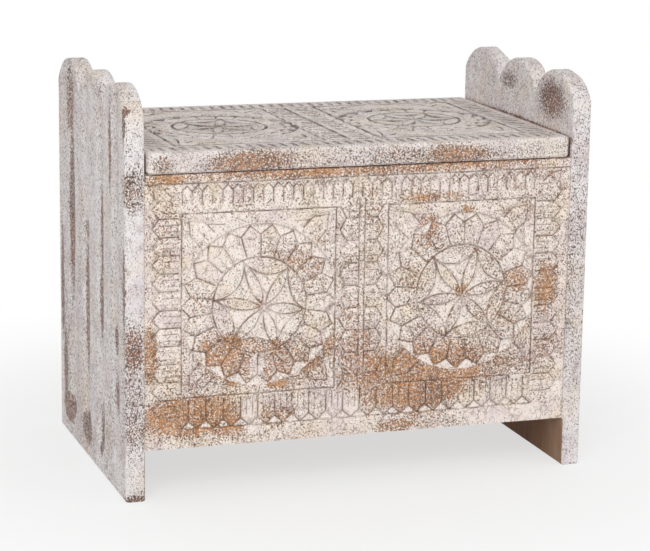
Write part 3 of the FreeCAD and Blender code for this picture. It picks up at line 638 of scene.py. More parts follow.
@dataclass(frozen=True)
class CornerLeaf:
    """A leaf that points into a corner, with a fine line beside it along either edge."""

    tip: float = 13.0 * MM
    shoulder: float = 28.0 * MM
    root: float = 46.0 * MM
    half_width: float = 12.5 * MM
    wing_inset: float = 14.0 * MM
    wing_start: float = 33.0 * MM
    wing_end: float = 54.0 * MM

    def cut(self, gouge: Gouge, from_side: Field, from_end: Field) -> Cut:
        """The leaf's cuts.

        Args:
            gouge: The tools that cut it.
            from_side: Distance from the upright edge of the corner.
            from_end: Distance from its level edge.

        Returns:
            The cuts, which end where the leaf does.
        """
        diagonal = math.sqrt(2)
        along, across = (from_side + from_end) / diagonal, (from_side - from_end) / diagonal
        shoulder, tip = self.root - self.shoulder, self.root - self.tip
        leaf = house(across, self.root - along, self.half_width, shoulder, tip)
        half_rib = shoulder / 2
        rib = hypotenuse(across, abs(along - self.shoulder - half_rib).past(half_rib))
        outline = gouge.edge(leaf).also(gouge.stroke(rib)).only(along.under(self.root))
        half_wing = (self.wing_end - self.wing_start) / 2
        past_end = abs(from_side.most(from_end) - self.wing_start - half_wing).past(half_wing)
        wing = gouge.stroke(hypotenuse(from_side.least(from_end) - self.wing_inset, past_end))
        return outline.also(wing)


@dataclass(frozen=True)
class CarvedPanel:
    """A rosette in a grooved frame, with a leaf in each corner."""

    rosette: Rosette
    left: float
    right: float
    low: float
    high: float
    corner: CornerLeaf = CornerLeaf()

    def cut(self, gouge: Gouge, x: Field, y: Field) -> Cut:
        """All of the panel's cuts.

        Args:
            gouge: The tools that cut them.
            x: The coordinate along the board.
            y: The coordinate up the board.

        Returns:
            The cuts, none outside the frame's groove.
        """
        from_side = (self.right - self.left) / 2 - abs(x - (self.left + self.right) / 2)
        from_end = (self.high - self.low) / 2 - abs(y - (self.low + self.high) / 2)
        inside = from_side.least(from_end)
        corner = self.corner.cut(gouge, from_side, from_end)
        within = self.rosette.cut(gouge, x, y).also(corner).only(inside.over(0.0))
        return within.also(gouge.line(inside))


def add(name: str, data: bpy.types.ID) -> bpy.types.Object:
    """Puts a new object into the scene.

    Args:
        name: Its name.
        data: Its mesh, lamp or camera.

    Returns:
        The object.
    """
    thing = bpy.data.objects.new(name, data)
    bpy.context.scene.collection.objects.link(thing)
    return thing


def finish_shape(
    name: str,
    bench: Bench,
    shape: Field,
    material: bpy.types.Material,
    start: Optional[bpy.types.Mesh] = None,
    smooth: bool = True,
) -> bpy.types.Mesh:
    """Ends a shape tree with its material and turns its result into a plain mesh.

    Args:
        name: The mesh's name.
        bench: The bench that holds the tree and the sizes of its inputs.
        shape: The tree's geometry so far.
        material: Its finish.
        start: The mesh that the tree starts from, if it takes one.
        smooth: Whether its faces are shaded as one curved surface.

    Returns:
        The mesh, with the tree's attributes and material.
    """
    shape = bench.value("GeometryNodeSetShadeSmooth", {"Geometry": shape, "Shade Smooth": smooth})
    shape = bench.value("GeometryNodeRealizeInstances", {0: shape})
    shape = bench.value("GeometryNodeSetMaterial", {"Geometry": shape, "Material": material})
    carrier = add(name, start or bpy.data.meshes.new(name))
    modifier = carrier.modifiers.new(name, "NODES")
    modifier.node_group = bench.give(SocketKind.SHAPE, Shape=shape)
    for identifier, value in bench.sizes.items():
        modifier[identifier] = value
    shaped = carrier.evaluated_get(bpy.context.evaluated_depsgraph_get())
    mesh = bpy.data.meshes.new_from_object(shaped)
    bpy.data.objects.remove(carrier)
    return mesh


def place(name: str, mesh: bpy.types.Mesh, body: Body, slot: Slot, *nodes: str) -> None:
    """Puts a finished mesh into the scene as a piece of the bench.

    Args:
        name: The piece's name.
        mesh: Its mesh, already where it belongs.
        body: The body that carries it.
        slot: Not used.
        *nodes: The solids that it stands for.
    """
    mesh.name = name
    piece = add(name, mesh)
    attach(piece, body.value)
    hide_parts(*nodes)
    log.info("%s: %d faces", name, len(mesh.polygons))


@dataclass(frozen=True)
class CarvedFace:
    """A carved face as a fine grid, cut by hand: the lines wander and their depth varies."""

    low: Span
    high: Span
    spacing: float
    seed: float
    wander: float = 1.0 * MM
    wander_size: float = 42.0 * MM
    wave: float = 0.35 * MM
    wave_size: float = 16.0 * MM
    depth_size: float = 24.0 * MM
    depth_least: float = 0.55
    depth_spread: float = 0.9

    def mesh(
        self,
        name: str,
        cuts: Callable[[Field, Field], Cut],
        spot: Callable[[Field, Field, Field], Field],
        material: bpy.types.Material,
    ) -> bpy.types.Mesh:
        """Builds the face.

        Args:
            name: The name of the tree and the mesh.
            cuts: Gives the cuts at two coordinates of the face.
            spot: Gives the place in the frame for two coordinates and a depth.
            material: The face's finish.

        Returns:
            An open mesh with the attributes near and hollow.
        """
        bench = Bench.group(name, TreeKind.SHAPE)
        wide, tall = self.high[0] - self.low[0], self.high[1] - self.low[1]
        size = {
            "Size X": bench.size("Width", wide),
            "Size Y": bench.size("Height", tall),
            "Vertices X": round(wide / self.spacing) + 1,
            "Vertices Y": round(tall / self.spacing) + 1,
        }
        shape = bench.value("GeometryNodeMeshGrid", size, "Mesh")
        right, up, _ = bench.split(bench.value("GeometryNodeInputPosition"))
        u = right + bench.size("Middle Across", (self.low[0] + self.high[0]) / 2)
        v = up + bench.size("Middle Up", (self.low[1] + self.high[1]) / 2)
        flat = bench.join(u, v, 0.0)
        seed = bench.size("Seed", self.seed)
        stray = bench.size("Wander", 2 * self.wander)
        u_shaken = u + (bench.noise(flat, self.wander_size, seed) - 0.5) * stray
        v_shaken = v + (bench.noise(flat, self.wander_size, seed + 1.0) - 0.5) * stray
        cut = cuts(u_shaken, v_shaken)
        uneven = self.depth_least + bench.noise(flat, self.depth_size, seed + 2.0) * self.depth_spread
        wave = bench.noise(flat, self.wave_size, seed + 3.0) * bench.size("Wave", self.wave)
        for attribute, value in (("near", cut.near), ("hollow", cut.hollow)):
            inputs = {"Geometry": shape, "Name": attribute, "Value": value}
            shape = bench.value("GeometryNodeStoreNamedAttribute", inputs)
        inputs = {"Geometry": shape, "Position": spot(u, v, cut.depth * uneven + wave)}
        shape = bench.value("GeometryNodeSetPosition", inputs)
        return finish_shape(name, bench, shape, material)


def close_back(
    mesh: bpy.types.Mesh,
    axis: Axis,
    level: float,
    ease: float,
    outward: Callable[[Vector], Vector],
    back: bpy.types.Material,
) -> None:
    """Closes an open carved face into a board.

    Args:
        mesh: The face, whose rim is its only open edge.
        axis: The direction of the board's thickness.
        level: Where the board's back lies along it.
        ease: How far the back's edge is taken off.
        outward: The way out of the board's edge at a place on its rim, or nothing at a glued seam.
        back: The finish of the back.
    """
    mesh.materials.append(back)
    form = bmesh.new()
    form.from_mesh(mesh)
    rim = [edge for edge in form.edges if edge.is_boundary]
    towards = math.copysign(ease, sum(v.co[axis.value] for v in form.verts) / len(form.verts) - level)
    for edge in rim:
        edge.smooth = False
    for height, inset in ((level + towards, 0.0), (level, ease)):
        grown = bmesh.ops.extrude_edge_only(form, edges=rim)["geom"]
        rim = [item for item in grown if isinstance(item, bmesh.types.BMEdge) and item.is_boundary]
        for vertex in (item for item in grown if isinstance(item, bmesh.types.BMVert)):
            vertex.co -= outward(vertex.co) * inset
            vertex.co[axis.value] = height
    for face in bmesh.ops.edgeloop_fill(form, edges=rim)["faces"]:
        face.material_index = len(mesh.materials) - 1
        face.smooth = False
    bmesh.ops.recalc_face_normals(form, faces=form.faces)
    form.to_mesh(mesh)
    form.free()


def colour(*levels: int) -> Colour:
    """A colour as a screen shows it, red, green and blue from 0 to 255, as the light that it stands for."""
    shares = (level / 255 for level in levels)
    return (*(s / 12.92 if s <= 0.04045 else ((s + 0.055) / 1.055) ** 2.4 for s in shares), 1.0)


@dataclass(frozen=True)
class WornPatch:
    """A place where the paint is rubbed away: an oval round a centre, softer towards its edge."""

    centre: Triple
    reach: Triple
    strength: float


@dataclass(frozen=True)
class Cloud:
    """A cloudy pattern, and the two levels between which it becomes a mask."""

    size: Number
    seed: float
    low: float = 0.0
    high: float = 1.0
    detail: float = 2.0
    rough: float = 0.5

    def at(self, where: Field) -> Field:
        """The pattern's value at a place, round one half."""
        return where.bench.noise(where, self.size, self.seed, self.detail, self.rough)

    def mask(self, where: Field) -> Field:
        """Nothing where the value is under the low level, and one where it is over the high one."""
        return self.at(where).smooth(self.low, self.high)


@dataclass(frozen=True)
class Cells:
    """A net of bent cells, such as cracks make: how finely and how far it is bent, and how flat it is."""

    seed: float
    bend_share: float
    stray_share: float
    flatness: float = 1.0

    def edge(self, where: Field, size: Field) -> Field:
        """How far a place lies from the edge of its cell.

        Args:
            where: The place.
            size: The cells' size.

        Returns:
            The distance, as a share of that size.
        """
        bench = where.bench
        x, y, z = bench.split(where)
        stray = (bench.noise(where, size * self.bend_share, self.seed) - 0.5) * size * self.stray_share
        bent = bench.join(x + stray, y + stray, z * self.flatness - stray)
        inputs = {"Vector": bent, "Scale": bench.math(MathStep.DIVIDE, 1.0, size)}
        return bench.value("ShaderNodeTexVoronoi", inputs, "Distance", feature="DISTANCE_TO_EDGE")


class Effects:
    """Effects that several finishes share, each a node group that is built once."""

    def __init__(self) -> None:
        """Builds the groups."""
        self.chipping = self._chipping()
        self.flaking = self._flaking()
        self.speckle = self._speckle()
        self.crackle = self._crackle()
        self.rubbing = self._rubbing()
        self.grain = self._grain()

    @staticmethod
    def _start(name: str, *numbers: str) -> list[Field]:
        """A group's place and numbers.

        Args:
            name: The group's name.
            *numbers: The names of its numbers.

        Returns:
            The place, then each number.
        """
        bench = Bench.group(name, TreeKind.FINISH)
        return bench.take(SocketKind.VECTOR, "Position") + bench.take(SocketKind.NUMBER, *numbers)

    @classmethod
    def _chipping(cls) -> bpy.types.NodeTree:
        """Metal dulled in ragged chips, more of them where the wear is greater.

        Returns:
            The group.
        """
        unworn, gain, blur, broad_share, fine_size = 0.62, 0.17, 0.02, 0.25, 0.2
        where, wear, size = cls._start("chipping", "Wear", "Chip Size")
        broad = Cloud(size, seed=1.0, detail=4.0, rough=0.75).at(where)
        fine = Cloud(size * fine_size, seed=2.0, rough=0.6).at(where)
        level = unworn - wear * gain
        mottled = broad * broad_share + fine * (1.0 - broad_share)
        return where.bench.give(SocketKind.NUMBER, Bare=mottled.smooth(level - blur, level + blur))

    @classmethod
    def _flaking(cls) -> bpy.types.NodeTree:
        """Crackled paint that loses the edges of its flakes, until only islands of it are left.

        Returns:
            The group.
        """
        unworn, gain, blur = -0.08, 0.36, 0.02
        where, wear, size = cls._start("flaking", "Wear", "Flake Size")
        edge = Cells(seed=14.0, bend_share=0.8, stray_share=1.2).edge(where, size)
        lost = wear * gain + unworn + (Cloud(size, seed=15.0, detail=1.0).at(where) - 0.5)
        return where.bench.give(SocketKind.NUMBER, Bare=1.0 - edge.smooth(lost - blur, lost + blur))

    @classmethod
    def _speckle(cls) -> bpy.types.NodeTree:
        """Dark specks where the paint's grain is rubbed off, which come in drifts.

        Returns:
            The group.
        """
        unworn, gain, blur_under, blur_over, drift_size, drift_gain = 0.65, 0.15, 0.015, 0.025, 16.0, 2.0
        where, size, density = cls._start("speckle", "Speck Size", "Density")
        fine = Cloud(size, seed=5.0, detail=1.0).at(where)
        drift = Cloud(size * drift_size, seed=6.0, rough=0.6).at(where) - 0.5
        level = unworn - (density + drift * drift_gain).share() * gain
        return where.bench.give(SocketKind.NUMBER, Speck=fine.smooth(level - blur_under, level + blur_over))

    @classmethod
    def _crackle(cls) -> bpy.types.NodeTree:
        """A net of hair-thin cracks in the paint, longer up and down than across.

        Returns:
            The group.
        """
        core, gap_size = 0.3, 3.0
        where, size, line = cls._start("crackle", "Cell Size", "Line")
        edge = Cells(seed=8.0, bend_share=0.7, stray_share=1.0, flatness=0.6).edge(where, size)
        broken = Cloud(size * gap_size, seed=9.0, low=0.38, high=0.6).mask(where)
        return where.bench.give(SocketKind.NUMBER, Crack=(1.0 - edge.smooth(line * core, line)) * broken)

    @staticmethod
    def _rubbing() -> bpy.types.NodeTree:
        """One oval patch of rubbed paint.

        Returns:
            The group.
        """
        outer, inner = 1.15, 0.35
        bench = Bench.group("rubbing", TreeKind.FINISH)
        where, centre, reach = bench.take(SocketKind.VECTOR, "Position", "Centre", "Reach")
        strength, = bench.take(SocketKind.NUMBER, "Strength")
        offset = bench.value("ShaderNodeVectorMath", {0: where, 1: centre}, operation="SUBTRACT")
        share = bench.value("ShaderNodeVectorMath", {0: offset, 1: reach}, operation="DIVIDE")
        away = bench.value("ShaderNodeVectorMath", {0: share}, "Value", operation="LENGTH")
        return bench.give(SocketKind.NUMBER, Wear=away.smooth(outer, inner) * strength)

    @classmethod
    def _grain(cls) -> bpy.types.NodeTree:
        """Long figure and fine pores of wood whose grain runs along the first coordinate.

        Returns:
            The group.
        """
        figure_length, pore_length, pore_size, bands, band_share = 0.07, 0.05, 0.09, 18.0, 0.45
        where, size = cls._start("grain", "Figure Size")
        bench = where.bench
        x, y, z = bench.split(where)
        figure = Cloud(size, seed=11.0, detail=4.0, rough=0.55).at(bench.join(x * figure_length, y, z))
        banded = ((figure * bands).sine() * 0.5 + 0.5) * band_share + figure * (1.0 - band_share)
        pore = Cloud(size * pore_size, seed=12.0, low=0.55, high=0.72)
        pores = pore.mask(bench.join(x * pore_length, y, z))
        return bench.give(SocketKind.NUMBER, Figure=banded, Pores=pores)


@dataclass(frozen=True)
class Surface:
    """A material being made: its nodes and its shader."""

    material: bpy.types.Material
    bench: Bench
    shader: bpy.types.Node

    @classmethod
    def new(cls, name: str) -> "Surface":
        """A material with a plain shader.

        Args:
            name: The material's name.

        Returns:
            The material, a bench for its nodes, and its shader.
        """
        material = bpy.data.materials.new(name)
        material.use_nodes = True
        bench = Bench(material.node_tree)
        return cls(material, bench, bench.found("ShaderNodeBsdfPrincipled"))

    def set(self, **values: Value) -> None:
        """Sets the shader's sockets, an underscore standing for a space in their names."""
        for name, value in values.items():
            self.bench.put(self.shader.inputs[name.replace("_", " ")], value)

    def bump(self, height: Field, strength: float, distance: float) -> None:
        """Roughens the surface by a height."""
        inputs = {"Height": height, "Strength": strength, "Distance": distance}
        self.set(Normal=self.bench.value("ShaderNodeBump", inputs))


@dataclass(frozen=True)
class ChalkPaint:
    """White chalk paint over brown wood, crackled, chipped, and rubbed through by use, with grime and
    painted shade darkening its carved lines and hollows.
    """

    white: Colour = colour(249, 238, 230)
    lilac: Colour = colour(237, 222, 219)
    cream: Colour = colour(243, 227, 208)
    tan: Colour = colour(212, 148, 88)
    brown: Colour = colour(138, 90, 54)
    dark: Colour = colour(84, 54, 34)
    crack: Colour = colour(144, 120, 102)
    lilac_cloud: Cloud = Cloud(32.0 * MM, seed=21.0, low=0.42, high=0.68)
    cream_cloud: Cloud = Cloud(45.0 * MM, seed=22.0, low=0.45, high=0.75)
    worn_cream: float = 0.25
    drift: float = 1.2
    drift_cloud: Cloud = Cloud(45.0 * MM, seed=20.0, detail=4.0, rough=0.6)
    stretch: Triple = (0.7, 1.0, 1.0)
    most_worn: float = 0.84
    kept: Cloud = Cloud(20.0 * MM, seed=23.0, low=0.36, high=0.62)
    groove: float = 0.45
    groove_span: Span = (0.6, 0.95)
    dirt: float = 0.74
    dirt_from: float = 0.72
    dirt_full: float = 0.94
    dirt_least: float = 0.5
    dirt_breaks: Cloud = Cloud(5.0 * MM, seed=26.0, low=0.35, high=0.6)
    dirt_unbroken: float = 0.6
    hollow_dirt_and_shade: float = 0.0
    hollow_dirt_and_shade_least: float = 0.6
    hollow_dirt_and_shade_span: Span = (0.4, 1.0)
    hollow_wear: float = -1.0
    hollow_white: float = 1.0
    hollow_white_span: Span = (0.5, 1.0)
    flake_size: float = 2.3 * MM
    flake_stretch: Triple = (1.0, 1.0, 1.0)
    bare_share: float = 0.92
    speck_size: float = 1.3 * MM
    speck_density: float = 0.35
    speck_share: float = 0.85
    cell_size: float = 6.0 * MM
    crack_width: float = 0.09
    crack_share: float = 0.55
    grain: Triple = (1.0, 1.0, 1.0)
    figure: Cloud = Cloud(4.0 * MM, seed=24.0, detail=4.0, rough=0.8)
    figure_span: Span = (0.38, 0.62)
    broad: Cloud = Cloud(55.0 * MM, seed=27.0)
    broad_level: float = 0.45
    broad_share: float = 0.7
    dark_contrast: float = 4.0
    dark_wear: float = 0.12
    roughness: float = 0.68
    bare_roughness: float = 0.12
    bump: float = 0.45 * MM
    bump_strength: float = 0.5
    coat_height: float = 0.6
    crack_height: float = 0.5
    speck_height: float = 0.2
    grit_height: float = 0.25
    grit: Cloud = Cloud(1.4 * MM, seed=25.0)

    def material(
        self, name: str, effects: Effects, worn: float, patches: Sequence[WornPatch], carved: bool,
    ) -> bpy.types.Material:
        """The paint on one board.

        Args:
            name: The material's name.
            effects: The shared effects.
            worn: How worn the board is where it has no patch.
            patches: Where it is more worn, or less where the strength is under nothing.
            carved: Whether the board's mesh tells where its carving is.

        Returns:
            The material.
        """
        surface = Surface.new(name)
        bench = surface.bench
        where = bench.spot()
        drawn = bench.scaled(where, self.stretch)
        wear = (self.drift_cloud.at(drawn) - 0.5) * self.drift + worn
        for patch in patches:
            inputs = {"Position": where, "Centre": patch.centre, "Reach": patch.reach}
            rubbed, = bench.effect(effects.rubbing, inputs | {"Strength": patch.strength})
            wear = wear + rubbed
        groove: Number = 0.0
        dirt: Number = 0.0
        clean: Number = 0.0
        if carved:
            near = bench.value("ShaderNodeAttribute", output="Fac", attribute_name="near")
            hollow = bench.value("ShaderNodeAttribute", output="Fac", attribute_name="hollow")
            wear = wear + hollow * wear.share() * self.hollow_wear
            kept = self.kept.mask(where)
            groove = near.smooth(*self.groove_span) * kept * self.groove
            # Dark colour along the carved lines: partly grime in the cuts, partly painted shade where the
            # grooves fall into shadow.
            breaks = self.dirt_unbroken + self.dirt_breaks.mask(where) * (1.0 - self.dirt_unbroken)
            held = self.dirt_least + kept * (1.0 - self.dirt_least)
            dirt = near.smooth(self.dirt_from, self.dirt_full) * held * breaks * self.dirt
            # Dark colour in the hollows: partly grime, partly painted shade inside the sunk ground.
            held = self.hollow_dirt_and_shade_least + kept * (1.0 - self.hollow_dirt_and_shade_least)
            dirt = dirt.most(hollow.smooth(*self.hollow_dirt_and_shade_span) * held * self.hollow_dirt_and_shade)
            clean = hollow.smooth(*self.hollow_white_span) * self.hollow_white
        wear = wear.least(self.most_worn)
        flaked = bench.scaled(where, self.flake_stretch)
        inputs = {"Position": flaked, "Wear": wear, "Flake Size": self.flake_size}
        bare = bench.effect(effects.flaking, inputs)[0].most(groove)
        density = wear.least(1.0) * self.speck_density
        inputs = {"Position": where, "Speck Size": self.speck_size, "Density": density}
        speck, = bench.effect(effects.speckle, inputs)
        inputs = {"Position": where, "Cell Size": self.cell_size, "Line": self.crack_width}
        crack, = bench.effect(effects.crackle, inputs)
        coat = bench.tint(self.lilac_cloud.mask(where), self.white, self.lilac)
        coat = bench.tint(self.cream_cloud.mask(where), coat, self.cream)
        coat = bench.tint(wear.share() * self.worn_cream, coat, self.cream)
        coat = bench.tint(clean, coat, self.white)
        base = bench.tint(crack * self.crack_share, coat, self.crack)
        base = bench.tint(bare * self.bare_share, base, self.wood(where, wear))
        # One dark colour for the specks and for the grime and painted shade of the carved lines and
        # hollows.
        base = bench.tint((speck * self.speck_share).most(dirt), base, self.dark)
        surface.set(Base_Color=base, Roughness=self.roughness + bare * self.bare_roughness)
        height = (1.0 - bare) * self.coat_height - crack * self.crack_height - speck * self.speck_height
        height = height + self.grit.at(where) * self.grit_height
        surface.bump(height, self.bump_strength, self.bump)
        return surface.material

    def wood(self, where: Field, wear: Field) -> Field:
        """The wood under the paint.

        Args:
            where: The place.
            wear: How worn the paint is there.

        Returns:
            Its colour, darker where little paint is gone.
        """
        bench = where.bench
        figure = self.figure.at(bench.scaled(where, self.grain))
        broad = self.broad.at(where) - self.broad_level
        mixed = (figure + broad * self.broad_share).smooth(*self.figure_span)
        wood = bench.tint(mixed, self.brown, self.tan)
        light = (figure - 0.5) * self.dark_contrast + wear - self.dark_wear
        return bench.tint(light.share(), self.dark, wood)


@dataclass(frozen=True)
class BareWood:
    """Unpainted brown wood with a light wash of white left in its pores."""

    light: Colour = colour(176, 136, 104)
    dark: Colour = colour(128, 92, 68)
    wash: Colour = colour(190, 168, 150)
    wash_cloud: Cloud = Cloud(80.0 * MM, seed=31.0, low=0.5, high=0.8)
    wash_share: float = 0.5
    figure_size: float = 26.0 * MM
    pore_share: float = 0.5
    roughness: float = 0.72
    pore_roughness: float = 0.12
    bump: float = 0.3 * MM
    bump_strength: float = 0.4
    figure_height: float = 0.4
    pore_height: float = 0.5

    def material(self, name: str, effects: Effects, along: Axis) -> bpy.types.Material:
        """The wood of one piece.

        Args:
            name: The material's name.
            effects: The shared effects.
            along: The way that its grain runs.

        Returns:
            The material.
        """
        surface = Surface.new(name)
        bench = surface.bench
        where = bench.spot()
        places = bench.split(where)
        turned = bench.join(*(places[(along.value + step) % 3] for step in range(3)))
        inputs = {"Position": turned, "Figure Size": self.figure_size}
        figure, pores = bench.effect(effects.grain, inputs)
        base = bench.tint(figure, self.light, self.dark)
        base = bench.tint(pores * self.pore_share, base, self.dark)
        base = bench.tint(self.wash_cloud.mask(where) * self.wash_share, base, self.wash)
        surface.set(Base_Color=base, Roughness=self.roughness + pores * self.pore_roughness)
        height = figure * self.figure_height - pores * self.pore_height
        surface.bump(height, self.bump_strength, self.bump)
        return surface.material


@dataclass(frozen=True)
class AgedSteel:
    """Steel that has dulled, with darker and browner clouds."""

    clean: Colour
    dull: Colour
    rust: Colour = colour(112, 78, 56)
    rust_share: float = 0.7
    rust_wear: float = 0.3
    rust_size: float = 6.0 * MM
    metallic: float = 0.85
    rust_metallic: float = 0.6
    roughness: float = 0.42
    dull_roughness: float = 0.2
    cloud: Cloud = Cloud(9.0 * MM, seed=41.0, low=0.35, high=0.65, detail=4.0, rough=0.6)
    bump: float = 0.1 * MM
    bump_strength: float = 0.3

    def material(self, name: str, effects: Effects) -> bpy.types.Material:
        """The steel of the hinges or the screws.

        Args:
            name: The material's name.
            effects: The shared effects.

        Returns:
            The material.
        """
        surface = Surface.new(name)
        bench = surface.bench
        where = bench.spot()
        cloud = self.cloud.at(where)
        inputs = {"Position": where, "Wear": self.rust_wear, "Chip Size": self.rust_size}
        spot, = bench.effect(effects.chipping, inputs)
        base = bench.tint(cloud.smooth(self.cloud.low, self.cloud.high), self.clean, self.dull)
        base = bench.tint(spot * self.rust_share, base, self.rust)
        rough = self.roughness + cloud * self.dull_roughness + spot * self.dull_roughness
        surface.set(Base_Color=base, Metallic=self.metallic - spot * self.rust_metallic, Roughness=rough)
        surface.bump(cloud, self.bump_strength, self.bump)
        return surface.material


@dataclass
class CarvedBoard:
    """A carved board, made in two halves that meet at its middle; it faces the front, or up."""

    paint: bpy.types.Material
    wood: bpy.types.Material
    node: str = ""
    word: str = ""
    body: Body = Body.CARCASS
    faces_up: bool = False
    spacing: float = 1.0 * MM
    rounding: float = 3.0 * MM
    ease: float = 0.5 * MM
    seed: float = 0.0
    gouge: Gouge = Gouge()
    rosettes: Sequence[Rosette] = ()
    panel_edges: Span = (0.0, 0.0)
    panel_heights: Span = (0.0, 0.0)
    panel_shift: float = 0.0
    low: Vector = field(init=False)
    high: Vector = field(init=False)

    def __post_init__(self) -> None:
        """Measures the solid board."""
        self.low, self.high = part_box(self.node)

    def panel(self, side: Side) -> CarvedPanel:
        """The framed rosette of one half."""
        left, right = sorted(side.value * edge + self.panel_shift for edge in self.panel_edges)
        return CarvedPanel(self.rosettes[side is Side.RIGHT], left, right, *self.panel_heights)

    def cuts(self, side: Side, x: Field, up: Field) -> Cut:
        """All cuts at one place of one half; each board has its own."""
        raise NotImplementedError

    def spot(self, side: Side, x: Field, up: Field, depth: Field) -> Field:
        """Where one place of one half lies in the frame; each board has its own."""
        raise NotImplementedError

    def outward(self, rim: Vector) -> Vector:
        """The way out of the board's edge, or nothing where the edge is square."""
        return Vector()

    def build(self) -> None:
        """Builds both halves and puts them in place of the solid board."""
        up, thick = (Axis.Y, Axis.Z) if self.faces_up else (Axis.Z, Axis.Y)
        level = (self.low if self.faces_up else self.high)[thick.value]
        for side in Side:
            inner, outer = sorted((0.0, self.low.x if side is Side.LEFT else self.high.x))
            low, high = (inner, self.low[up.value]), (outer, self.high[up.value])
            face = CarvedFace(low, high, self.spacing, self.seed)
            name = f"{self.word}_{side.word}_half"
            mesh = face.mesh(name, partial(self.cuts, side), partial(self.spot, side), self.paint)
            close_back(mesh, thick, level, self.ease, self.outward, self.wood)
            place(name, mesh, self.body, Slot.PAINTED_WOOD, self.node)


@dataclass
class FrontBoard(CarvedBoard):
    """The carved front, whose halves meet on the fillet between the two panels."""

    node: str = "front_board"
    word: str = "front"
    seed: float = 3.0
    rosettes: Sequence[Rosette] = (
        Rosette(
            -131.0 * MM, 235.5 * MM, math.radians(-8.5), math.radians(-1.0), ring_leaves=22,
            off_across=4.5 * MM, off_up=-2.6 * MM, ground_share=0.9,
        ),
        Rosette(
            132.0 * MM, 237.0 * MM, math.radians(10.5), math.radians(10.4), ring_leaves=21,
            off_across=1.2 * MM, off_up=-3.8 * MM, ground_share=0.9,
        ),
    )
    panel_edges: Span = (34.0 * MM, 229.0 * MM)
    panel_heights: Span = (125.0 * MM, 351.7 * MM)
    corner: CornerLeaf = CornerLeaf(
        tip=6.0 * MM, shoulder=17.0 * MM, root=32.0 * MM, half_width=8.0 * MM,
        wing_inset=5.0 * MM, wing_start=16.0 * MM, wing_end=24.0 * MM,
    )
    corner_across: float = 268.0 * MM
    border: LeafRow = LeafRow(
        root=232.0 * MM, shoulder=256.0 * MM, tip=265.0 * MM, pitch=22.4 * MM,
        first=358.0 * MM, low=100.4 * MM, high=369.2 * MM,
    )
    column: LeafRow = LeafRow(
        root=5.5 * MM, shoulder=20.0 * MM, tip=28.0 * MM, pitch=28.2 * MM,
        first=323.0 * MM, low=125.0 * MM, high=351.7 * MM,
    )
    arches: LeafRow = LeafRow(
        root=362.0 * MM, shoulder=379.0 * MM, tip=385.5 * MM, pitch=12.67 * MM,
        first=12.67 * MM / 2, low=-228.2 * MM, high=228.2 * MM, plain=True,
    )
    feet: LeafRow = LeafRow(
        root=122.0 * MM, shoulder=94.5 * MM, tip=85.0 * MM, pitch=22.0 * MM,
        first=11.0 * MM, low=-232.0 * MM, high=232.0 * MM, points_up=False, chipped=True,
    )
    fillet: float = 3.6 * MM
    head_line: float = 388.6 * MM
    # The line just under the lid's front edge: a shallow groove whose dark colour is painted shadow of the
    # gap under the lid.
    seam: float = 401.0 * MM

    def cuts(self, side: Side, x: Field, up: Field) -> Cut:
        """All cuts at one place of one half.

        Args:
            side: The half.
            x: The place's first coordinate.
            up: Its height.

        Returns:
            The cuts.
        """
        out = x * float(side.value)
        cut = self.panel(side).cut(self.gouge, x, up)
        for row in (self.border, self.column):
            cut = cut.also(row.cut(self.gouge, up, out))
        for row in (self.arches, self.feet):
            cut = cut.also(row.cut(self.gouge, x, up))
        at_corner = out.over(self.border.root) * up.over(self.border.high)
        corner = self.corner.cut(self.gouge, self.corner_across - out, self.head_line - up)
        cut = cut.also(corner.only(at_corner))
        beside_panels = up.between(self.panel_heights[0], self.arches.root)
        cut = cut.also(self.gouge.line(out - self.fillet).only(beside_panels))
        # The head line, and the seam line whose dark colour is painted shadow under the lid.
        for line in (self.head_line, self.seam):
            cut = cut.also(self.gouge.line(up - line))
        return cut

    def spot(self, side: Side, x: Field, up: Field, depth: Field) -> Field:
        """A place on the front face, set back by the depth of the cut and by the rounded top edge."""
        drop = rounded(up.past(self.high.z - self.rounding), self.rounding)
        return x.bench.join(x, depth + drop + self.low.y, up)


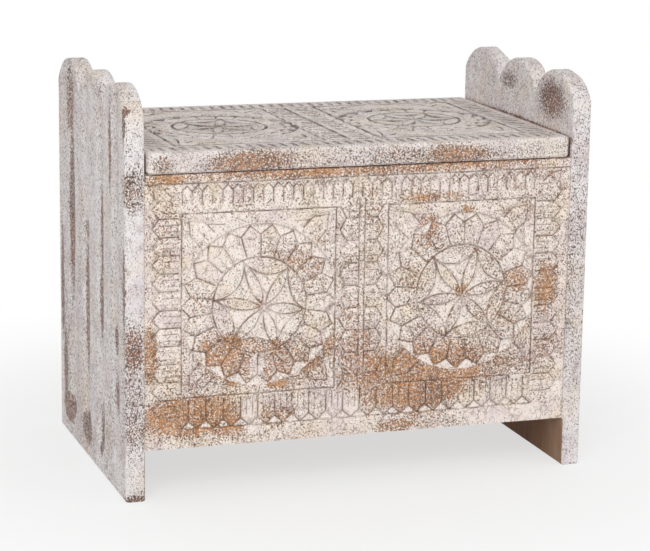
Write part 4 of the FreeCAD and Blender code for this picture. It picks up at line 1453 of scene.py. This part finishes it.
@dataclass
class LidBoard(CarvedBoard):
    """The lid, carved on top like the front but shallower."""

    node: str = "lid_board"
    word: str = "lid"
    body: Body = Body.LID
    faces_up: bool = True
    spacing: float = 1.06 * MM
    rounding: float = 3.5 * MM
    ease: float = 2.5 * MM
    seed: float = 13.0
    gouge: Gouge = Gouge(
        line_depth=1.8 * MM, hollow_depth=2.2 * MM, stroke_depth=1.0 * MM, line_width=3.4 * MM,
        edge_share=0.76, feather=6.0 * MM, wall=0.9 * MM,
    )
    rosettes: Sequence[Rosette] = (
        Rosette(-132.0 * MM, 0.0, math.radians(12.0)), Rosette(132.0 * MM, 0.0, math.radians(-4.0)),
    )
    panel_edges: Span = (36.3 * MM, 227.3 * MM)
    panel_heights: Span = (-137.0 * MM, 137.0 * MM)
    panel_shift: float = 1.0 * MM
    corner: float = 7.0 * MM
    column: LeafRow = LeafRow(
        root=6.0 * MM, shoulder=22.0 * MM, tip=31.0 * MM, pitch=28.0 * MM,
        first=0.0, low=-137.0 * MM, high=137.0 * MM,
    )
    ticks: TickRow = TickRow(158.0 * MM, 9.5 * MM, 13.8 * MM, slant=0.08, low=-262.0 * MM, high=262.0 * MM)
    side_ticks: TickRow = TickRow(
        248.0 * MM, 9.5 * MM, 13.8 * MM, slant=0.08, low=-142.0 * MM, high=142.0 * MM,
    )
    fillet: float = -3.5 * MM

    @property
    def straight(self) -> Vector:
        """How far from the lid's middle its edges run straight."""
        return Vector((self.high.x - self.corner, self.high.y - self.corner, 0.0))

    def cuts(self, side: Side, x: Field, up: Field) -> Cut:
        """All cuts at one place of one half.

        Args:
            side: The half.
            x: The place's first coordinate.
            up: Its second one, from the lid's front to its back.

        Returns:
            The cuts.
        """
        out = x * float(side.value)
        cut = self.panel(side).cut(self.gouge, x, up)
        for row in (self.column, self.side_ticks):
            cut = cut.also(row.cut(self.gouge, up, out))
        cut = cut.also(self.ticks.cut(self.gouge, x, abs(up)))
        return cut.also(self.gouge.line(x - self.fillet).only(abs(up).under(self.panel_heights[1])))

    def spot(self, side: Side, x: Field, up: Field, depth: Field) -> Field:
        """A place on the lid, rounded at the corners and over the edges.

        Args:
            side: The half.
            x: The place's first coordinate.
            up: Its second one.
            depth: How deep it is cut.

        Returns:
            The place in the frame.
        """
        out = x * float(side.value)
        past_x, past_y = out.past(self.straight.x), abs(up).past(self.straight.y)
        past = past_x.most(past_y)
        pull = past / hypotenuse(past_x, past_y).most(MM * MM)
        round_x = (out.least(self.straight.x) + past_x * pull) * float(side.value)
        round_y = (abs(up).least(self.straight.y) + past_y * pull) * up.sign()
        drop = rounded(past.past(self.corner - self.rounding), self.rounding)
        return x.bench.join(round_x, round_y, self.high.z - depth - drop)

    def outward(self, rim: Vector) -> Vector:
        """The way out of the lid's edge, and nothing at the seam between the halves."""
        held = [max(-limit, min(limit, place)) for limit, place in zip(self.straight.xy, rim.xy)]
        return (rim - Vector((*held, rim.z))).normalized()


@dataclass
class SideBoards:
    """The two side boards: three domes along the top, shallow upright flutes on the outer face."""

    paint: dict[Side, bpy.types.Material]
    wood: bpy.types.Material
    domes: int = 3
    dome_rise: float = 33.0 * MM
    rounding: float = 3.0 * MM
    columns: int = 168
    rows: int = 220
    crowding: float = 0.62
    flutes: int = 4
    flute_pitch: float = 79.0 * MM
    flute_first: float = 50.0 * MM
    flute_depth: float = 3.0 * MM
    flute_radius: float = 68.0 * MM
    flute_start: float = 31.0 * MM
    flute_full: float = 47.0 * MM
    wave: float = 0.5 * MM
    wave_size: float = 26.0 * MM
    bare_below: float = 424.0 * MM
    bare_behind: float = -176.0 * MM
    open_below: float = 62.0 * MM
    flat_facing: float = 0.5
    seed: float = 23.0

    def face(self, side: Side, outer: bool) -> bpy.types.Mesh:
        """One face of one board, as an open mesh.

        Args:
            side: Which board it is.
            outer: Whether it is the fluted outer face.

        Returns:
            The mesh, whose rim is the board's outline.
        """
        low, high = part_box(f"{side.word}_side_board")
        name = f"{side.word}_side_{'outer' if outer else 'inner'}_face"
        bench = Bench.group(name, TreeKind.SHAPE)
        size = {"Size X": 1.0, "Size Y": 1.0, "Vertices X": self.columns + 1, "Vertices Y": self.rows + 1}
        grid = bench.value("GeometryNodeMeshGrid", size, "Mesh")
        across, up, _ = bench.split(bench.value("GeometryNodeInputPosition"))
        depth, height = bench.size("Depth", high.y - low.y), bench.size("Height", high.z)
        y = (self.crowd(across + 0.5, self.domes) - 0.5) * depth
        pitch = (high.y - low.y) / self.domes
        radius = arc_radius(pitch / 2, self.dome_rise)
        offset = (y - low.y - pitch / 2).nearest(pitch)
        arc = (radius ** 2 - offset * offset).root()
        top = height - radius + arc
        z = self.crowd(up + 0.5, 1) * top
        to_edge = (high.y - abs(y)).least(z).least((top - z) * (arc / radius))
        sunk = rounded((self.rounding - to_edge).most(0.0), self.rounding)
        seed = bench.size("Seed", self.seed + side.value)
        wave = bench.size("Wave", self.wave)
        sunk = sunk + bench.noise(bench.join(y, z, 0.0), self.wave_size, seed) * wave
        if outer:
            from_first = y - low.y - self.flute_first
            offset = from_first.nearest(self.flute_pitch)
            scoop = self.flute_depth - offset * offset / (2 * self.flute_radius)
            half_pitch = self.flute_pitch / 2
            within = from_first.between(-half_pitch, self.flutes * self.flute_pitch - half_pitch)
            sunk = sunk + scoop.most(0.0) * within * z.smooth(self.flute_start, self.flute_full)
        face_x = (low.x, high.x)[outer == (side is Side.RIGHT)]
        inward = float(-side.value if outer else side.value)
        inputs = {"Geometry": grid, "Position": bench.join(sunk * inward + face_x, y, z)}
        return finish_shape(name, bench, bench.value("GeometryNodeSetPosition", inputs), self.paint[side])

    def crowd(self, share: Field, bays: int) -> Field:
        """Spaces a grid's lines closer at both ends of each bay, where the edges are rounded."""
        turn = 2 * math.pi * bays
        return share - (share * turn).sine() * (self.crowding / turn)

    def is_bare(self, spot: Vector) -> bool:
        """Whether a place on the inner face is hidden behind the front board or under the lid."""
        return spot.z < self.open_below or (spot.z < self.bare_below and spot.y > self.bare_behind)

    def build(self) -> None:
        """Joins the two faces of each board round its edge and puts the board in place."""
        for side in Side:
            form = bmesh.new()
            for outer in (True, False):
                form.from_mesh(self.face(side, outer))
            wall = bmesh.ops.bridge_loops(form, edges=[edge for edge in form.edges if edge.is_boundary])
            bmesh.ops.recalc_face_normals(form, faces=form.faces)
            edge_faces = set(wall["faces"])
            for face in form.faces:
                face.smooth = True
                inside = face.normal.x * side.value < -self.flat_facing and face not in edge_faces
                face.material_index = int(inside and self.is_bare(face.calc_center_median()))
            name = f"{side.word}_side"
            mesh = bpy.data.meshes.new(name)
            mesh.materials.append(self.paint[side])
            mesh.materials.append(self.wood)
            form.to_mesh(mesh)
            form.free()
            place(name, mesh, Body.CARCASS, Slot.PAINTED_WOOD, f"{side.word}_side_board")


@dataclass(frozen=True)
class Screw:
    """One screw as the solids have it: the middle of its head's face, the way that faces, and its sizes."""

    head: Vector
    facing: Vector
    radius: float
    length: float

    @classmethod
    def measured(cls, spots: Sequence[Vector]) -> "Screw":
        """A screw measured from the corners of its solid.

        Args:
            spots: All corners of the solid.

        Returns:
            The screw; its head is the end that is wide.
        """
        low = Vector(min(spot[i] for spot in spots) for i in range(3))
        high = Vector(max(spot[i] for spot in spots) for i in range(3))
        middle, size = (low + high) / 2, high - low
        axis = max(range(3), key=lambda i: size[i])
        facing = Vector(float(i == axis) for i in range(3))
        wide_end = max(spots, key=lambda spot: (spot - middle).cross(facing).length)
        if (wide_end - middle).dot(facing) < 0:
            facing = -facing
        return cls(middle + facing * size[axis] / 2, facing, min(size) / 2, size[axis])


@dataclass
class Screws:
    """Slotted wood screws, in place of the plain ones of each joint."""

    steel: bpy.types.Material
    rows: dict[str, Body]
    head_share: float = 0.55
    shank_share: float = 0.5
    point_share: float = 0.5
    tip_share: float = 0.05
    slot_share: float = 0.26
    slot_length_share: float = 3.0
    slot_depth_share: float = 0.28
    sides: int = 20
    same_corner: float = 0.001 * MM
    seed: int = 7

    def found(self, node: str) -> list[Screw]:
        """Each screw of a group of solids.

        Args:
            node: The group.

        Returns:
            Its screws, measured.
        """
        form = bmesh.new()
        form.from_mesh(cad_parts[node].data)
        bmesh.ops.remove_doubles(form, verts=form.verts, dist=self.same_corner)
        screws: list[Screw] = []
        seen: set[bmesh.types.BMVert] = set()
        for start in form.verts:
            reached = [] if start in seen else [start]
            seen.add(start)
            for vertex in reached:
                others = {edge.other_vert(vertex) for edge in vertex.link_edges} - seen
                seen |= others
                reached.extend(others)
            if reached:
                screws.append(Screw.measured([vertex.co.copy() for vertex in reached]))
        form.free()
        return screws

    def shape(self, bench: Bench, radius: Field, length: Field) -> Field:
        """One screw, pointing down from a head whose face lies at nothing.

        Args:
            bench: The tree that it is built in.
            radius: The head's radius.
            length: The whole length.

        Returns:
            The screw's geometry.
        """
        head_height, shank = radius * self.head_share, radius * self.shank_share
        point = radius * self.point_share
        head = self.cone(radius, shank, head_height, head_height * -1.0)
        slot = (self.slot_share, self.slot_length_share, 2 * self.slot_depth_share)
        size = bench.join(*(radius * share for share in slot))
        cutter = bench.value("GeometryNodeMeshCube", {"Size": size}, "Mesh")
        inputs = {"Mesh 1": head, "Mesh 2": cutter}
        slotted = bench.value("GeometryNodeMeshBoolean", inputs, "Mesh", operation="DIFFERENCE")
        body = self.cone(shank, shank, length - head_height - point, point - length)
        tip = self.cone(shank, shank * self.tip_share, point, length * -1.0)
        whole = bench.node("GeometryNodeJoinGeometry")
        for part in (tip, body, slotted):
            bench.put(whole.inputs[0], part)
        return Field(bench, whole.outputs[0])

    def cone(self, top: Field, bottom: Field, height: Field, foot: Field) -> Field:
        """A cone or a cylinder that stands on a given height.

        Args:
            top: The radius of its upper end.
            bottom: The radius of its lower end.
            height: How tall it is.
            foot: Where its lower end lies.

        Returns:
            Its geometry.
        """
        bench = top.bench
        inputs = {"Vertices": self.sides, "Radius Top": top, "Radius Bottom": bottom, "Depth": height}
        cone = bench.value("GeometryNodeMeshCone", inputs, "Mesh")
        lift = {"Geometry": cone, "Translation": bench.join(0.0, 0.0, foot)}
        return bench.value("GeometryNodeTransform", lift)

    def mesh(self, node: str) -> bpy.types.Mesh:
        """All screws of one group, each turned at random about its own axis.

        Args:
            node: The group.

        Returns:
            Their mesh.
        """
        screws = self.found(node)
        name = f"{node}_slotted"
        points = bpy.data.meshes.new(name)
        points.from_pydata([screw.head for screw in screws], [], [])
        facing = points.attributes.new("facing", "FLOAT_VECTOR", "POINT")
        facing.data.foreach_set("vector", [part for screw in screws for part in screw.facing])
        bench = Bench.group(name, TreeKind.SHAPE)
        heads, = bench.take(SocketKind.SHAPE, "Heads")
        radius = bench.size("Head Radius", screws[0].radius)
        length = bench.size("Length", screws[0].length)
        way = bench.value("GeometryNodeInputNamedAttribute", {"Name": "facing"}, data_type="FLOAT_VECTOR")
        stand = bench.value("FunctionNodeAlignRotationToVector", {"Vector": way}, axis="Z")
        chance = bench.node("FunctionNodeRandomValue", {"Seed": self.seed}, data_type="FLOAT")
        angle = next(socket for socket in chance.outputs if socket.enabled)
        turn = bench.join(0.0, 0.0, Field(bench, angle) * math.pi)
        inputs = {"Rotation": stand, "Rotate By": bench.value("FunctionNodeEulerToRotation", {0: turn})}
        stood = bench.value("FunctionNodeRotateRotation", inputs, rotation_space="LOCAL")
        inputs = {"Points": heads, "Instance": self.shape(bench, radius, length), "Rotation": stood}
        set_in = bench.value("GeometryNodeInstanceOnPoints", inputs)
        return finish_shape(name, bench, set_in, self.steel, points, smooth=False)

    def build(self) -> None:
        """Builds each group and puts it in place of its solids."""
        for node, body in self.rows.items():
            place(f"{node}_slotted", self.mesh(node), body, Slot.SCREW_STEEL, node)


@dataclass
class PlainPieces:
    """The pieces whose solids stay in view: joinery of bare wood, the back board, and the hinges."""

    wood_along_x: bpy.types.Material
    wood_along_y: bpy.types.Material
    back: bpy.types.Material
    hinge: bpy.types.Material
    along_x: Sequence[str] = ("floor_board", "front_cleat", "back_cleat", "front_dowels", "back_dowels")
    along_y: Sequence[str] = ("left_cleat", "right_cleat", "left_lid_batten", "right_lid_batten")
    painted: Sequence[str] = ("back_board",)
    hinges: Sequence[str] = ("hinge_box_leaf", "hinge_lid_leaf", "hinge_pin")

    def dress(self) -> None:
        """Gives each piece its finish."""
        finishes = dict.fromkeys(self.along_x, self.wood_along_x)
        finishes |= dict.fromkeys(self.along_y, self.wood_along_y)
        finishes |= dict.fromkeys(self.painted, self.back)
        finishes |= {f"{side.word}_{part}": self.hinge for side in Side for part in self.hinges}
        for node, material in finishes.items():
            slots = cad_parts[node].data.materials
            slots.clear()
            slots.append(material)
            log.info("%s: dressed in %s", node, material.name)


@dataclass(frozen=True)
class PhotoCamera:
    """The photograph's viewpoint: low, from the front and a little to the left, through a long lens."""

    picture_width: float = 650.0
    focal: float = 2343.76
    turn: float = math.radians(18.657)
    dip: float = math.radians(12.369)
    roll: float = math.radians(0.8165)
    aim: Vector = Vector((0.0, 0.0, 225.0 * MM))
    offset: Vector = Vector((-11.873 * MM, -1.719 * MM, 3055.882 * MM))
    sensor: float = 36.0
    sees_to: float = 50.0

    def build(self) -> None:
        """Sets up the camera and makes it the scene's own."""
        level_ahead = Vector((math.sin(self.turn), math.cos(self.turn), 0.0))
        ahead = level_ahead * math.cos(self.dip) - Vector((0.0, 0.0, math.sin(self.dip)))
        level = Vector((math.cos(self.turn), -math.sin(self.turn), 0.0))
        upright = level.cross(ahead)
        right = level * math.cos(self.roll) + upright * math.sin(self.roll)
        up = upright * math.cos(self.roll) - level * math.sin(self.roll)
        place_at = self.aim - right * self.offset.x - up * self.offset.y - ahead * self.offset.z
        lens = bpy.data.cameras.new("photo_camera")
        lens.sensor_width = self.sensor
        lens.lens = self.focal / self.picture_width * self.sensor
        lens.clip_end = self.sees_to
        camera = add("photo_camera", lens)
        axes = Matrix((right, up, -ahead)).transposed()
        camera.matrix_world = Matrix.Translation(place_at) @ axes.to_4x4()
        bpy.context.scene.camera = camera


@dataclass(frozen=True)
class SoftBox:
    """One large soft lamp."""

    name: str
    spot: Triple
    size: float
    power: float


@dataclass(frozen=True)
class Studio:
    """A pale floor in a white room, lit softly from the front."""

    lamps: Sequence[SoftBox] = (
        SoftBox("key", (-1.5, -2.7, 2.2), 1.8, 48.0),
        SoftBox("fill", (2.4, -2.2, 1.2), 2.2, 14.0),
    )
    aim: Vector = Vector((0.0, 0.0, 0.25))
    floor_size: float = 8.0
    floor_colour: Colour = colour(238, 238, 238)
    floor_roughness: float = 0.9
    room_light: float = 0.55
    shadow_share: float = 0.35
    shadow_reach: float = 0.9
    shadow_core: float = 0.3

    def build(self) -> None:
        """Sets up the floor, the lamps and the room."""
        self.floor()
        for box in self.lamps:
            light = bpy.data.lights.new(box.name, "AREA")
            light.size = box.size
            light.energy = box.power
            lamp = add(box.name, light)
            lamp.location = box.spot
            lamp.rotation_euler = (self.aim - Vector(box.spot)).to_track_quat("-Z", "Y").to_euler()
        world = bpy.data.worlds.new("white_room")
        world.use_nodes = True
        bpy.context.scene.world = world
        bench = Bench(world.node_tree)
        sky = bench.found("ShaderNodeBackground")
        bench.put(sky.inputs["Color"], WHITE)
        bench.put(sky.inputs["Strength"], self.seen(bench) * (1.0 - self.room_light) + self.room_light)
        bpy.context.scene.view_settings.view_transform = "Standard"

    @staticmethod
    def seen(bench: Bench) -> Field:
        """One for rays that show the background, and nothing for rays that light the bench."""
        path = partial(bench.value, "ShaderNodeLightPath", None)
        return path("Is Camera Ray").most(path("Is Glossy Ray")).most(path("Is Transmission Ray"))

    def floor(self) -> None:
        """The floor, white to the camera but for a soft shadow."""
        mesh = bpy.data.meshes.new("floor")
        half = self.floor_size / 2
        corners = [(-half, -half, 0), (half, -half, 0), (half, half, 0), (-half, half, 0)]
        mesh.from_pydata(corners, [], [(0, 1, 2, 3)])
        floor = add("floor", mesh)
        surface = Surface.new("pale_floor")
        bench = surface.bench
        surface.set(Base_Color=self.floor_colour, Roughness=self.floor_roughness)
        glow = bench.value("ShaderNodeEmission", {"Color": WHITE, "Strength": 1.0})
        away = bench.value("ShaderNodeVectorMath", {0: bench.spot()}, "Value", operation="LENGTH")
        close = away.smooth(self.shadow_reach, self.shadow_core * self.shadow_reach)
        lit = self.seen(bench) * (1.0 - close * self.shadow_share)
        mix = bench.value("ShaderNodeMixShader", {0: lit, 1: surface.shader.outputs[0], 2: glow})
        bench.put(bench.found("ShaderNodeOutputMaterial").inputs["Surface"], mix)
        mesh.materials.append(surface.material)


def patches(*rows: Sequence[float]) -> tuple[WornPatch, ...]:
    """Worn patches.

    Args:
        *rows: Each patch's place and reach, in millimetres, and its strength.

    Returns:
        The patches.
    """
    made = []
    for *lengths, strength in rows:
        metres = tuple(length * MM for length in lengths)
        made.append(WornPatch(metres[:3], metres[3:], strength))
    return tuple(made)


def patches_on(axis: Axis, level: float, reach: float, *rows: Sequence[float]) -> tuple[WornPatch, ...]:
    """Worn patches on one face of a board.

    Args:
        axis: The direction that the face looks along.
        level: Where the face lies along it, in millimetres.
        reach: How far the patches reach along it, in millimetres.
        *rows: Each patch's place and reach in the other two directions, in millimetres, and its strength.

    Returns:
        The patches.
    """
    whole = []
    for *lengths, strength in rows:
        centre, size = lengths[:2], lengths[2:]
        centre.insert(axis.value, level)
        size.insert(axis.value, reach)
        whole.append((*centre, *size, strength))
    return patches(*whole)


FRONT_PATCHES = patches_on(
    Axis.Y, -180, 60,
    (-131, 160, 105, 46, 0.4), (105, 140, 140, 46, 0.55), (0, 150, 40, 70, 0.3), (130, 235, 110, 110, 0.15),
    (-88, 270, 46, 50, 0.25), (-190, 305, 60, 56, -0.25), (-130, 335, 80, 25, -0.2),
    (-215, 101, 74, 30, 1.0),
    (-165, 84, 26, 18, 0.5), (-268, 184, 12, 46, 0.8), (-175, 174, 30, 36, 0.15), (-108, 96, 30, 18, 0.4),
    (-134, 160, 12, 18, -0.6), (-140, 97, 14, 24, -0.6), (-18, 97, 26, 22, -0.45), (-165, 142, 12, 8, 0.5),
    (-109, 137, 14, 9, 0.5), (-166, 194, 14, 11, 0.5), (-109, 184, 10, 10, 0.4), (-201, 180, 12, 22, 0.35),
    (-44, 181, 14, 16, 0.4), (-62, 159, 16, 11, 0.4), (78, 104, 66, 32, 0.5), (48, 70, 40, 10, 0.5),
    (215, 72, 80, 14, -0.3), (86, 322, 16, 18, 0.5), (137, 340, 14, 9, 0.6), (209, 250, 24, 20, 0.4),
    (247, 238, 20, 44, 0.6), (92, 359, 60, 7, 0.5), (-250, 394, 30, 9, 0.45), (0, 397, 290, 9, 0.6),
    (-131, 236, 8, 8, 0.9), (131, 238, 10, 10, 1.1), (-131, 242, 62, 52, -0.3), (131, 242, 56, 50, -0.25),
)

LID_PATCHES = patches(
    (-254, -183, 414, 16, 30, 16, 0.5),
    (-147, -183, 413, 62, 30, 20, 0.55),
    (124, -183, 411, 52, 30, 17, 0.4),
    (90, -183, 410, 150, 30, 14, 0.2),
    (0, -183, 413, 290, 12, 14, 0.3),
    (-130, -20, 428, 50, 60, 20, 0.15),
    (140, 0, 432, 130, 176, 8, -0.15),
)

LEFT_PATCHES = patches_on(
    Axis.X, -300, 12,
    (-177, 465, 6, 34, 1.17), (-177, 265, 6, 66, 0.91), (-108, 425, 7, 66, 1.04), (-130, 190, 11, 24, 0.78),
    (-135, 120, 18, 28, 0.78), (-55, 310, 8, 66, 1.17), (-52, 220, 11, 56, 0.98), (-56, 60, 12, 44, 0.91),
    (25, 205, 13, 110, 1.17), (25, 300, 20, 14, 0.65), (110, 300, 14, 130, 1.17), (115, 450, 20, 60, 0.52),
    (150, 90, 14, 62, 0.91), (165, 205, 11, 95, 1.04), (24, 38, 28, 24, 1.56), (128, 38, 38, 21, 1.56),
    (-57, 38, 13, 15, 0.78),
) + patches(
    (-288, -183, 192, 20, 8, 34, 0.65),
    (-288, -183, 120, 20, 8, 66, 0.2),
    (-288, -183, 382, 24, 8, 36, 0.5),
    (-288, -183, 290, 24, 8, 80, -0.3),
    (-288, -183, 36, 24, 8, 40, -0.3),
    (-288, -183, 3, 30, 10, 6, 0.6),
)

RIGHT_PATCHES = patches(
    (275, -115, 466, 14, 56, 30, 0.8),
    (275, 30, 472, 14, 34, 14, 0.5),
    # A strong rub just beside the lid's end, whose dark bare wood is painted shadow of the gap between lid
    # and board.
    (275, 0, 422, 6, 220, 8, 1.6),
    (300, -55, 250, 12, 9, 260, 0.35),
    (300, 25, 250, 12, 9, 260, 0.35),
    (300, 108, 250, 12, 9, 260, 0.35),
    (288, -183, 250, 24, 8, 220, 0.14),
)

BACK_PATCHES = patches((0, 139, 230, 900, 12, 600, 4.0))

FRONT_PAINT = ChalkPaint()
# The lid's whites are a little darker than the front's: painted shade on its top, which the lamps light at
# a grazing angle.
LID_PAINT = ChalkPaint(
    white=colour(240, 231, 226), lilac=colour(227, 214, 212), cream=colour(234, 221, 208),
    tan=colour(190, 138, 96), brown=colour(126, 84, 56), dark=colour(58, 46, 40),
    stretch=(0.4, 1.0, 1.0), flake_size=2.5 * MM, dirt=1.0, dirt_from=0.5, dirt_full=0.8,
    hollow_dirt_and_shade=0.95, hollow_wear=0.0, hollow_white=0.0,
)
UPRIGHT_PAINT = ChalkPaint(
    white=colour(241, 236, 235), lilac=colour(228, 219, 220), cream=colour(238, 225, 215),
    tan=colour(148, 98, 72), brown=colour(92, 60, 48), dark=colour(72, 50, 44),
    stretch=(1.0, 1.0, 0.16), flake_size=2.1 * MM, flake_stretch=(1.0, 1.0, 0.7), cell_size=3.5 * MM,
)
BACK_PAINT = ChalkPaint(
    tan=colour(176, 136, 104), brown=colour(128, 92, 68), grain=(0.04, 1.0, 1.0), most_worn=4.0,
)
HINGE_STEEL = AgedSteel(clean=colour(96, 92, 88), dull=colour(62, 58, 54))
SCREW_STEEL = AgedSteel(clean=colour(150, 148, 142), dull=colour(110, 104, 96))
FRONT_WEAR, LID_WEAR, LEFT_WEAR, RIGHT_WEAR, BACK_WEAR = 0.2, 0.05, 0.12, 0.05, 0.2

SCREW_ROWS = {
    "box_leaf_screws": Body.CARCASS,
    "cleat_screws": Body.CARCASS,
    "floor_screws": Body.CARCASS,
    "lid_leaf_screws": Body.LID,
    "batten_screws": Body.LID,
}


def main() -> None:
    """Builds the bench and its studio."""
    logging.basicConfig(level=logging.INFO, format="%(name)s: %(message)s")
    effects = Effects()
    wood_x, wood_y, wood_z = (
        BareWood().material(f"bare_wood_{word}", effects, axis)
        for word, axis in (("along", Axis.X), ("across", Axis.Y), ("upright", Axis.Z))
    )
    front_paint = FRONT_PAINT.material("front_paint", effects, FRONT_WEAR, FRONT_PATCHES, True)
    FrontBoard(front_paint, wood_x).build()
    lid_paint = LID_PAINT.material("lid_paint", effects, LID_WEAR, LID_PATCHES, True)
    LidBoard(lid_paint, wood_x).build()
    side_paint = {
        Side.LEFT: UPRIGHT_PAINT.material("left_side_paint", effects, LEFT_WEAR, LEFT_PATCHES, False),
        Side.RIGHT: UPRIGHT_PAINT.material("right_side_paint", effects, RIGHT_WEAR, RIGHT_PATCHES, False),
    }
    SideBoards(side_paint, wood_z).build()
    back = BACK_PAINT.material("back_paint", effects, BACK_WEAR, BACK_PATCHES, False)
    hinge = HINGE_STEEL.material("hinge_steel", effects)
    steel = SCREW_STEEL.material("screw_steel", effects)
    PlainPieces(wood_x, wood_y, back, hinge).dress()
    Screws(steel, SCREW_ROWS).build()
    Studio().build()
    PhotoCamera().build()


if __name__ == "__main__":
    main()
